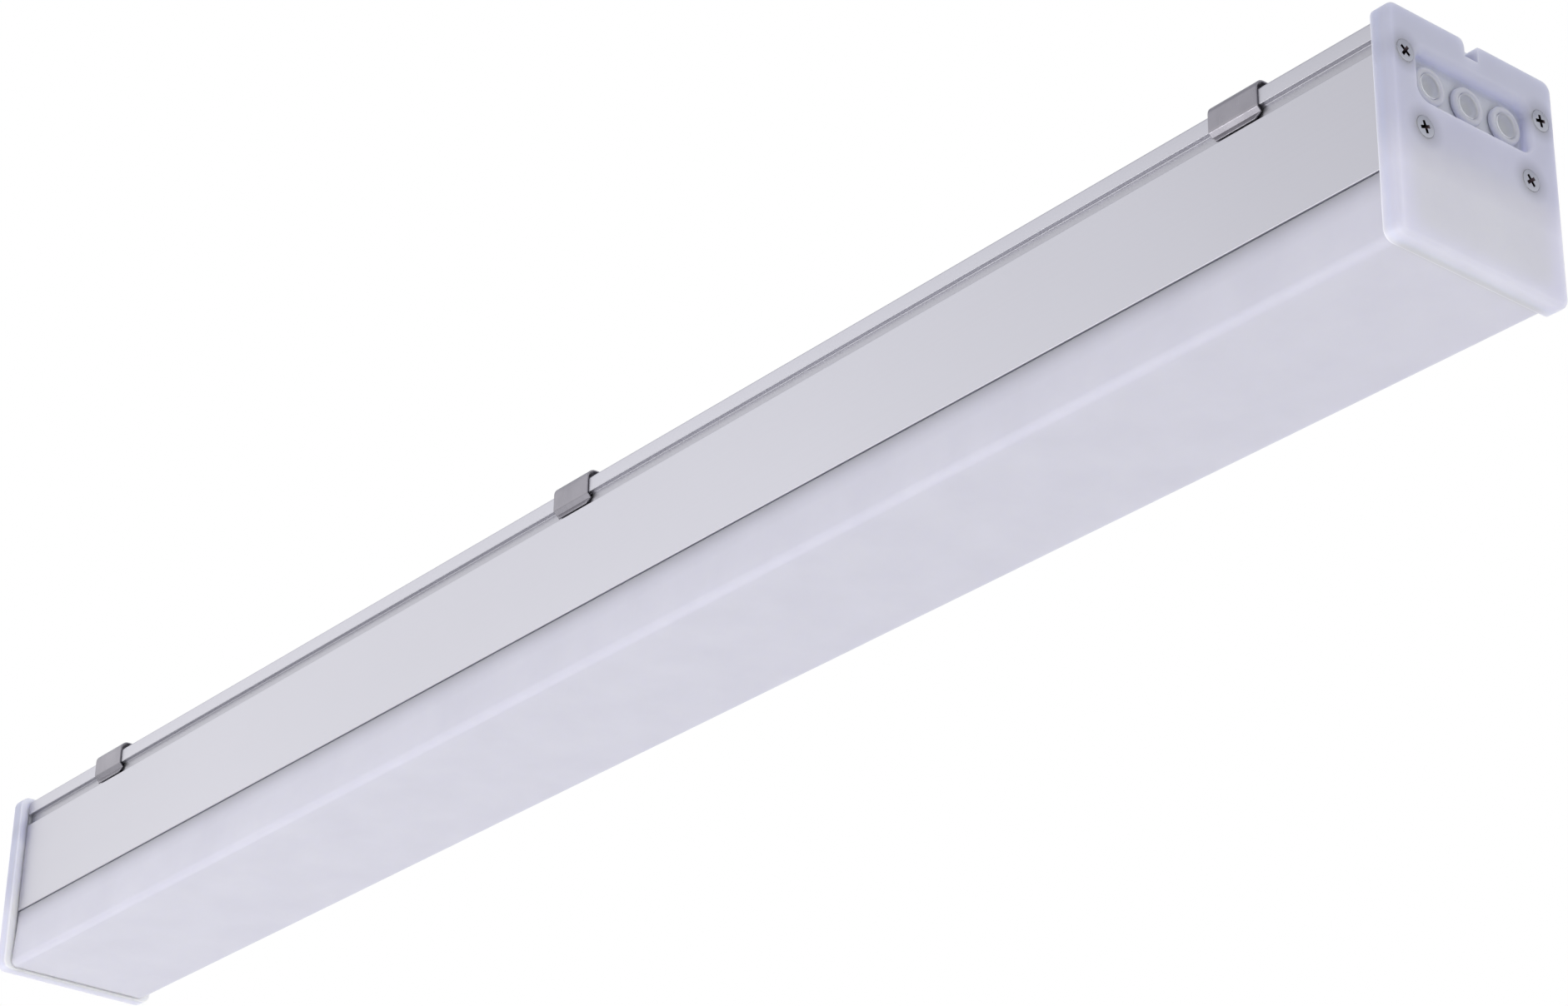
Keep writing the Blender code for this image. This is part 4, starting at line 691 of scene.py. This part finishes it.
class Finish:
    """A material built node by node around one Principled shader."""

    def __init__(self, name, roughness, metallic=0.0):
        self.material = bpy.data.materials.new(name)
        self.material.use_nodes = True
        self.tree = self.material.node_tree
        self.shader = self.tree.nodes["Principled BSDF"]
        self.shader.inputs["Roughness"].default_value = roughness
        self.shader.inputs["Metallic"].default_value = metallic

    def node(self, kind, **settings):
        made = self.tree.nodes.new(kind)
        for key, value in settings.items():
            setattr(made, key, value)
        return made

    def join(self, source, target):
        self.tree.links.new(source, target)

    def place(self, scale=(1.0, 1.0, 1.0)):
        """Object coordinates, stretched by scale."""
        found = self.node("ShaderNodeTexCoord")
        moved = self.node("ShaderNodeMapping")
        moved.inputs["Scale"].default_value = scale
        self.join(found.outputs["Object"], moved.inputs["Vector"])
        return moved.outputs["Vector"]

    def noise(self, place, scale, detail, roughness=0.5):
        made = self.node("ShaderNodeTexNoise")
        made.inputs["Scale"].default_value = scale
        made.inputs["Detail"].default_value = detail
        made.inputs["Roughness"].default_value = roughness
        self.join(place, made.inputs["Vector"])
        return made.outputs["Fac"]

    def ramp(self, value, stops):
        """The colour that goes with the value; stops are (value, colour) pairs."""
        made = self.node("ShaderNodeValToRGB")
        elements = made.color_ramp.elements
        elements[0].position, elements[1].position = stops[0][0], stops[-1][0]
        for position, _ in stops[1:-1]:
            elements.new(position)
        for element, (_, colour) in zip(elements, stops):
            element.color = (*colour, 1.0)
        self.join(value, made.inputs["Fac"])
        return made.outputs["Color"]

    def mottle(self, noise, low, high):
        """A colour between low and high, by the noise."""
        return self.ramp(noise, [(NOISE_LOW, low), (NOISE_HIGH, high)])

    def spread(self, noise, low, high):
        """A number between low and high, by the noise."""
        made = self.node("ShaderNodeMapRange")
        made.inputs["From Min"].default_value = NOISE_LOW
        made.inputs["From Max"].default_value = NOISE_HIGH
        made.inputs["To Min"].default_value = low
        made.inputs["To Max"].default_value = high
        self.join(noise, made.inputs["Value"])
        return made.outputs["Result"]

    def mix(self, factor, first, second, kind="MIX"):
        """Two colours mixed; each value is a socket or a constant."""
        made = self.node("ShaderNodeMix", data_type="RGBA", blend_type=kind)
        inputs = [made.inputs[number] for number in MIX_INPUTS]
        for value, socket in zip((factor, first, second), inputs):
            if hasattr(value, "is_linked"):
                self.join(value, socket)
            else:
                socket.default_value = value
        return made.outputs[MIX_OUTPUT]

    def along(self, axis, low, high, folded=False):
        """The place on one axis as 0 at low to 1 at high; folded measures from the middle."""
        place = self.node("ShaderNodeTexCoord").outputs["Object"]
        parts = self.node("ShaderNodeSeparateXYZ")
        self.join(place, parts.inputs[0])
        value = parts.outputs[axis]
        if folded:
            size = self.node("ShaderNodeMath", operation="ABSOLUTE")
            self.join(value, size.inputs[0])
            value = size.outputs[0]
        made = self.node("ShaderNodeMapRange")
        made.inputs["From Min"].default_value = low
        made.inputs["From Max"].default_value = high
        self.join(value, made.inputs["Value"])
        return made.outputs["Result"]

    def tint(self, axis, stops, folded=False):
        """A colour that changes along one axis; stops are (place, colour) pairs."""
        low, high = stops[0][0], stops[-1][0]
        spots = [((place - low) / (high - low), colour) for place, colour in stops]
        return self.ramp(self.along(axis, low, high, folded), spots)

    def shade(self, tone, axis, stops, folded=False):
        """The tone times a colour that changes along one axis."""
        return self.mix(1.0, tone, self.tint(axis, stops, folded), "MULTIPLY")

    def shade_around(self, tone, centre, inner, outer, colour):
        """Painted shade: the tone times a colour up to inner from a line along X at (|y|, z),
        fading by outer.
        """
        place = self.node("ShaderNodeTexCoord").outputs["Object"]
        folded = self.node("ShaderNodeVectorMath", operation="ABSOLUTE")
        self.join(place, folded.inputs[0])
        flat = self.node("ShaderNodeVectorMath", operation="MULTIPLY")
        self.join(folded.outputs["Vector"], flat.inputs[0])
        flat.inputs[1].default_value = (0.0, 1.0, 1.0)
        away = self.node("ShaderNodeVectorMath", operation="DISTANCE")
        self.join(flat.outputs["Vector"], away.inputs[0])
        away.inputs[1].default_value = (0.0, centre[0], centre[1])
        near = self.node("ShaderNodeMapRange", interpolation_type="SMOOTHSTEP")
        near.inputs["From Min"].default_value = outer
        near.inputs["From Max"].default_value = inner
        self.join(away.outputs["Value"], near.inputs["Value"])
        return self.mix(near.outputs["Result"], tone, self.mix(1.0, tone, colour, "MULTIPLY"))

    def glow(self, tone, windows, colour):
        """Painted light: the tone times a colour where every window, a grey tint along one axis, is
        white.
        """
        mask = None
        for window in windows:
            seen = self.tint(*window)
            mask = seen if mask is None else self.mix(1.0, seen, mask, "MULTIPLY")
        return self.mix(mask, tone, self.mix(1.0, tone, colour, "MULTIPLY"))

    def colour(self, source):
        self.join(source, self.shader.inputs["Base Color"])

    def rough(self, source):
        self.join(source, self.shader.inputs["Roughness"])

    def bump(self, height, strength, distance=FINE_BUMP):
        made = self.node("ShaderNodeBump")
        made.inputs["Strength"].default_value = strength
        made.inputs["Distance"].default_value = distance
        self.join(height, made.inputs["Height"])
        self.join(made.outputs["Normal"], self.shader.inputs["Normal"])


def grey(value):
    return (value, value, value)


# painted light and shade by place: the groove's wall is painted darker as shade, and the milky
# plastic is painted darker as shade where metal is close behind it, and lighter in places as
# painted light
# painted shade: the aluminium is darker at its lower edge, on the groove's wall and under the
# flange
ALUMINIUM_SHADE_HEIGHTS = [
    (Z_HOUSING, grey(0.93)), (Z_HOUSING + 0.5 * MM, grey(0.98)), (Z_HOUSING + 1.5 * MM, grey(0.97)),
    (Z_GROOVE - 0.05 * MM, grey(0.97)), (Z_GROOVE + 0.05 * MM, grey(0.82)),
    (Z_FLANGE + 0.1 * MM, grey(0.82)), (Z_FLANGE + 0.3 * MM, grey(0.97)), (Z_TOP, grey(0.97))]
# painted light and shade: the aluminium is lighter in the middle of its length and darker towards
# both ends
ALUMINIUM_LIGHT_LENGTHS = [
    (-X_HOUSING, grey(0.95)), (-200.0 * MM, grey(1.0)), (100.0 * MM, grey(1.03)),
    (200.0 * MM, grey(1.0)), (X_HOUSING, grey(0.95))]
# painted shade and light: the diffuser darkens towards the aluminium's lower edge as the shade
# under it, and is lighter at its bottom as a painted highlight
DIFFUSER_SHADE_HEIGHTS = [
    (Z_DIFFUSER, grey(1.06)), (3.2 * MM, grey(1.0)), (12.5 * MM, grey(0.97)),
    (15.0 * MM, grey(0.90)), (16.5 * MM, grey(0.82)), (17.5 * MM, grey(0.74)),
    (18.5 * MM, grey(0.66)), (Z_HOUSING, grey(0.56))]
# painted shade: the caps are darker and a little bluer towards the top, where less light falls
CAP_SHADE_HEIGHTS = [
    (0.0, grey(1.0)), (6.0 * MM, grey(1.0)), (18.0 * MM, grey(0.98)), (22.0 * MM, grey(0.90)),
    (27.0 * MM, (0.80, 0.81, 0.83)), (31.0 * MM, (0.77, 0.78, 0.81)),
    (CAP_HEIGHT, (0.73, 0.75, 0.77))]
# painted light: the back face of the caps' rim, which stands in shade, is much lighter, and the
# inside of the pocket is slightly lighter and bluer
CAP_LIGHT_LENGTHS = [
    (CAP_LOW.x, grey(1.45)), (CAP_LOW.x + 0.6 * MM, grey(1.0)),
    (X_END - 3.5 * MM, (1.0, 1.02, 1.05)), (X_END - 2.2 * MM, grey(1.0)), (X_END, grey(1.0))]
# painted light and shade: the caps are slightly lighter just inside their side edges and darker
# right at them
CAP_LIGHT_WIDTHS = [
    (Y_OUTER, grey(1.0)), (CAP_HALF_WIDTH - 1.0 * MM, grey(1.03)), (CAP_HALF_WIDTH, grey(0.90))]
# painted shade around the cap screws' heads
CAP_SCREW_SHADE = (0.80, 0.80, 0.82, 1.0)
SCREW_SHADE_REACH = 2.4 * SCREW_HEAD
# painted light: the inside of the pocket is lighter and bluer, lifting the shade in it, most on its
# walls
POCKET_LIGHT = (1.29, 1.30, 1.38, 1.0)
POCKET_LENGTHS = [
    (X_END - POCKET_DEPTH, grey(0.60)), (X_END - 2.6 * MM, grey(1.0)),
    (X_END - 0.3 * MM, grey(0.0))]
POCKET_WIDTHS = [(POCKET_HALF_WIDTH, grey(1.0)), (POCKET_HALF_WIDTH + 1.0 * MM, grey(0.0))]
POCKET_HEIGHTS = [
    (Z_POCKET - 2.0 * MM, grey(0.0)), (Z_POCKET, grey(1.0)), (Z_POCKET_TOP + 2.0 * MM, grey(1.0)),
    (Z_POCKET_TOP + 3.0 * MM, grey(0.0))]
POCKET_LIGHT_WINDOWS = [
    ("X", POCKET_LENGTHS, True), ("Y", POCKET_WIDTHS, True), ("Z", POCKET_HEIGHTS, False)]
# painted shade: the screws' cross recesses are dark brown inside, as the shade in them
RECESS_SHADE_LENGTHS = [
    (X_END - 2.2 * MM, grey(1.0)), (X_END - 2.0 * MM, (0.10, 0.07, 0.07)),
    (X_END - 0.5 * MM, (0.13, 0.09, 0.09)), (X_END - 0.08 * MM, (0.20, 0.15, 0.15)),
    (X_END, grey(1.0))]
# painted light and shade: the rings' front lips are darker and their bores and membranes lighter,
# evening out the light the lips catch and the shade inside
RING_LIGHT_LENGTHS = [
    (X_END - 3.5 * MM, (0.87, 0.88, 0.92)), (X_END - 2.5 * MM, (0.91, 0.92, 0.95)),
    (X_END - 1.7 * MM, grey(0.80))]


def aluminium():
    """Satin aluminium with fine lines along the extrusion and a faint cloudiness, and with painted
    light and shade along its length and its height.
    """
    finish = Finish("satin_aluminium", 0.42, 1.0)
    lines = finish.noise(finish.place((6.0, 2600.0, 2600.0)), 1.0, 6.0, 0.6)
    cloud = finish.noise(finish.place(), 14.0, 3.0)
    light = (0.632, 0.626, 0.676)
    lined = finish.mottle(lines, (0.594, 0.588, 0.636), light)
    clouded = finish.ramp(cloud, [(0.35, (0.606, 0.600, 0.648)), (0.65, light)])
    tone = finish.mix(0.35, lined, clouded)
    # painted light and shade along the length, then painted shade along the height
    tone = finish.shade(tone, "X", ALUMINIUM_LIGHT_LENGTHS)
    finish.colour(finish.shade(tone, "Z", ALUMINIUM_SHADE_HEIGHTS))
    finish.rough(finish.spread(lines, 0.36, 0.46))
    finish.bump(lines, 0.12)
    return finish.material


def milky(name, low, high, roughness, depth, heights=(), lengths=(), widths=(), screw_shades=(),
          windows=()):
    """Milky plastic; heights are painted light and shade along Z, lengths and widths along X and Y
    from the middle, halos the (y, z) places of screws with painted shade around them and windows
    the place of the pocket with painted light in it.
    """
    finish = Finish(name, roughness)
    cloud = finish.noise(finish.place(), 60.0, 3.0)
    grain = finish.noise(finish.place(), 2500.0, 2.0)
    tone = finish.mottle(cloud, low, high)
    # painted light and shade along each axis, by the tables given
    for axis, stops in (("Z", heights), ("X", lengths), ("Y", widths)):
        if stops:
            tone = finish.shade(tone, axis, stops, folded=axis != "Z")
    # painted shade around each screw head
    for centre in screw_shades:
        tone = finish.shade_around(tone, centre, SCREW_HEAD, SCREW_SHADE_REACH, CAP_SCREW_SHADE)
    if windows:
        tone = finish.glow(tone, windows, POCKET_LIGHT)
    finish.colour(tone)
    finish.rough(finish.spread(grain, roughness - 0.04, roughness + 0.05))
    finish.bump(grain, 0.05)
    finish.shader.inputs["Subsurface Weight"].default_value = SUBSURFACE_WEIGHT
    finish.shader.inputs["Subsurface Radius"].default_value = SUBSURFACE_RADIUS
    finish.shader.inputs["Subsurface Scale"].default_value = depth
    return finish.material


def stainless():
    """Bright sheet steel with fine rolling lines."""
    finish = Finish("clip_steel", 0.28, 1.0)
    lines = finish.noise(finish.place((700.0, 60.0, 60.0)), 1.0, 5.0, 0.6)
    cloud = finish.noise(finish.place(), 110.0, 3.0)
    finish.colour(finish.mottle(cloud, (0.28, 0.270, 0.300), (0.335, 0.322, 0.355)))
    finish.rough(finish.spread(lines, 0.24, 0.36))
    finish.bump(lines, 0.04)
    return finish.material


def plated(name, low, high, lengths=()):
    """Plated steel; lengths are tints along X, measured from the middle, that paint shade into the
    cap screws' cross recesses.
    """
    finish = Finish(name, 0.30, 1.0)
    cloud = finish.noise(finish.place(), 400.0, 3.0)
    tone = finish.mottle(cloud, low, high)
    if lengths:
        tone = finish.shade(tone, "X", lengths, folded=True)
    finish.colour(tone)
    finish.rough(finish.spread(cloud, 0.24, 0.40))
    finish.bump(cloud, 0.08)
    return finish.material


def plain(name, low, high, roughness, scale, metallic=0.0, bump=0.08):
    """Moulded plastic, coating or enamel with its own fine mottling."""
    finish = Finish(name, roughness, metallic)
    grain = finish.noise(finish.place(), scale, 4.0)
    finish.colour(finish.mottle(grain, low, high))
    finish.rough(finish.spread(grain, roughness - 0.05, roughness + 0.07))
    finish.bump(grain, bump, GRAIN_BUMP)
    return finish.material


def wire(name, colour):
    """A wire's glossy sleeve, mottled towards a darker tone."""
    darker = tuple(0.8 * value for value in colour)
    return plain(name, darker, colour, 0.45, 900.0)


def dress_inside(materials):
    """Gives every CAD node that still shows its procedural finish, by the record's slot."""
    slots = {row["node"]: row["material_slot"] for row in frame["record"]["subparts"]}
    for name, node in frame["nodes"].items():
        node.data.materials.clear()
        node.data.materials.append(materials[slots[name]])


# studio
FLOOR_DROP = 1.0
FLOOR_SIZE = 12.0
CEILING_LOW = 0.27
CEILING_HIGH = 0.70
CEILING_COLOUR = (0.62, 0.63, 0.67)
WHITE = (1.0, 1.0, 1.0)
SOFT_COLOUR = (0.97, 0.98, 1.0)
SOFT_STRENGTH = 0.90

# lamps: name, power, size, place and target
LAMPS = [
    ("key", 3.7, (2.4, 1.8), (-1.55, -0.95, 0.85), (0.0, 0.0, 0.02)),
    ("low_fill", 3.9, (2.0, 1.4), (-0.4, -0.3, -0.95), (0.0, 0.0, 0.02)),
    ("edge_fill", 1.6, (0.4, 0.3), (-0.576, -1.057, -0.635), (0.26, -0.023, 0.052))]


def background(tree, colour, strength):
    made = tree.nodes.new("ShaderNodeBackground")
    made.inputs["Color"].default_value = (*colour, 1.0)
    made.inputs["Strength"].default_value = strength
    return made.outputs["Background"]


def mixed(tree, factor, first, second):
    made = tree.nodes.new("ShaderNodeMixShader")
    tree.links.new(factor, made.inputs["Fac"])
    tree.links.new(first, made.inputs[1])
    tree.links.new(second, made.inputs[2])
    return made.outputs["Shader"]


def ceiling_mask(tree):
    """0 in level directions, rising to 1 overhead."""
    place = tree.nodes.new("ShaderNodeTexCoord")
    parts = tree.nodes.new("ShaderNodeSeparateXYZ")
    tree.links.new(place.outputs["Generated"], parts.inputs[0])
    made = tree.nodes.new("ShaderNodeMapRange")
    made.interpolation_type = "SMOOTHSTEP"
    made.inputs["From Min"].default_value = CEILING_LOW
    made.inputs["From Max"].default_value = CEILING_HIGH
    tree.links.new(parts.outputs["Z"], made.inputs["Value"])
    return made.outputs["Result"]


def make_world():
    """White to the camera, a room with a darker ceiling to reflections, soft light to the rest."""
    world = bpy.data.worlds.new("studio")
    bpy.context.scene.world = world
    world.use_nodes = True
    tree = world.node_tree
    soft = background(tree, SOFT_COLOUR, SOFT_STRENGTH)
    white = background(tree, WHITE, 1.0)
    ceiling = background(tree, CEILING_COLOUR, 1.0)
    path = tree.nodes.new("ShaderNodeLightPath")
    room = mixed(tree, ceiling_mask(tree), white, ceiling)
    rest = mixed(tree, path.outputs["Is Glossy Ray"], soft, room)
    seen = mixed(tree, path.outputs["Is Camera Ray"], rest, white)
    tree.links.new(seen, tree.nodes["World Output"].inputs["Surface"])


def make_floor():
    """The pale floor under the light."""
    shape = bmesh.new()
    bmesh.ops.create_grid(shape, x_segments=2, y_segments=2, size=FLOOR_SIZE / 2)
    floor = mesh_object("floor", shape)
    floor.location.z = -FLOOR_DROP
    finish = Finish("floor_paper", 0.9)
    grain = finish.noise(finish.place(), 40.0, 3.0)
    finish.colour(finish.mottle(grain, grey(0.90), grey(0.93)))
    floor.data.materials.append(finish.material)


def area_light(name, power, size, place, target):
    """A rectangular lamp that the camera doesn't see."""
    data = bpy.data.lights.new(name, "AREA")
    data.energy = power
    data.shape = "RECTANGLE"
    data.size, data.size_y = size
    item = link(bpy.data.objects.new(name, data))
    item.location = place
    item.rotation_euler = (Vector(target) - Vector(place)).to_track_quat("-Z", "Y").to_euler()
    item.visible_camera = False


def make_camera():
    """The camera of the photograph; its axes come from the fit."""
    data = bpy.data.cameras.new("camera")
    data.lens = LENS
    data.sensor_width = SENSOR_WIDTH
    data.sensor_fit = "HORIZONTAL"
    data.clip_start = CAMERA_NEAR
    data.clip_end = CAMERA_FAR
    camera = link(bpy.data.objects.new("camera", data))
    right, down, forward = Vector(CAMERA_RIGHT), Vector(CAMERA_DOWN), Vector(CAMERA_FORWARD)
    turn = Matrix((right, -down, -forward)).transposed()
    camera.matrix_world = Matrix.Translation(CAMERA_AT) @ turn.to_4x4()
    bpy.context.scene.camera = camera


def make_end(name, side, cap, ring, screw, steel):
    """One end of the light: its cap with the grommets and screws, and the clip near it."""
    make_cap(name, side, cap)
    for number, across in enumerate(entry_places(), 1):
        make_grommet(f"{name}_ring_{number}", f"{name}_cable_grommet_{number}", side, across, ring)
    for number, ((across, up), turn) in enumerate(zip(port_places(), SCREW_TURNS), 1):
        node = f"{name}_cap_screw_{number}"
        make_cap_screw(f"{name}_screw_{number}", node, side, across, up, side * turn, screw)
    make_clip(name + "_spring_clip", name + "_clip", steel)


def build():
    cap = milky(
        "milky_cap", (0.70, 0.69, 0.81), (0.74, 0.73, 0.85), roughness=0.34, depth=5.0 * MM,
        heights=CAP_SHADE_HEIGHTS, lengths=CAP_LIGHT_LENGTHS, widths=CAP_LIGHT_WIDTHS,
        screw_shades=(UPPER_PORT, LOWER_PORT), windows=POCKET_LIGHT_WINDOWS)
    cover = milky(
        "milky_diffuser", (0.63, 0.62, 0.71), (0.66, 0.65, 0.74), roughness=0.38, depth=2.5 * MM,
        heights=DIFFUSER_SHADE_HEIGHTS)
    ring = milky(
        "soft_ring", (0.58, 0.585, 0.66), (0.61, 0.615, 0.69), roughness=0.45, depth=4.0 * MM,
        lengths=RING_LIGHT_LENGTHS)
    steel = stainless()
    zinc = plated("plated_steel", (0.50, 0.49, 0.48), (0.62, 0.61, 0.60))
    screw = plated("cap_screw_steel", (0.42, 0.43, 0.49), (0.47, 0.48, 0.54), RECESS_SHADE_LENGTHS)
    metal = aluminium()
    dress_inside({
        "aluminium": metal, "milky_cap": cap, "milky_diffuser": cover, "silicone": ring,
        "stainless": steel, "zinc": zinc,
        "board_white": plain("board_white", (0.78, 0.79, 0.79), (0.86, 0.87, 0.87), 0.42, 300.0),
        "case_white": plain("case_white", (0.76, 0.76, 0.74), (0.82, 0.82, 0.80), 0.50, 500.0),
        "board_green": plain("board_green", (0.03, 0.20, 0.09), (0.06, 0.28, 0.13), 0.45, 600.0),
        "ferrite": plain("ferrite", (0.06, 0.06, 0.07), (0.11, 0.11, 0.12), 0.62, 1500.0),
        "copper": plain("copper", (0.62, 0.30, 0.12), (0.78, 0.43, 0.20), 0.32, 700.0, 1.0, 0.2),
        "sleeve_black": plain("sleeve_black", (0.02, 0.02, 0.025), (0.05, 0.05, 0.06), 0.35, 400.0),
        "wire_brown": wire("wire_brown", (0.27, 0.12, 0.05)),
        "wire_blue": wire("wire_blue", (0.05, 0.14, 0.52)),
        "wire_green": wire("wire_green", (0.38, 0.56, 0.07)),
        "wire_red": wire("wire_red", (0.56, 0.04, 0.04)),
        "wire_black": wire("wire_black", (0.04, 0.04, 0.04))})
    make_housing(metal)
    make_diffuser(cover)
    for name, side in (("right", 1), ("left", -1)):
        make_end(name, side, cap, ring, screw, steel)
    make_clip("middle_spring_clip", "middle_clip", steel)
    make_world()
    make_floor()
    for lamp in LAMPS:
        area_light(*lamp)
    make_camera()
    bpy.context.scene.view_settings.view_transform = "Standard"


build()
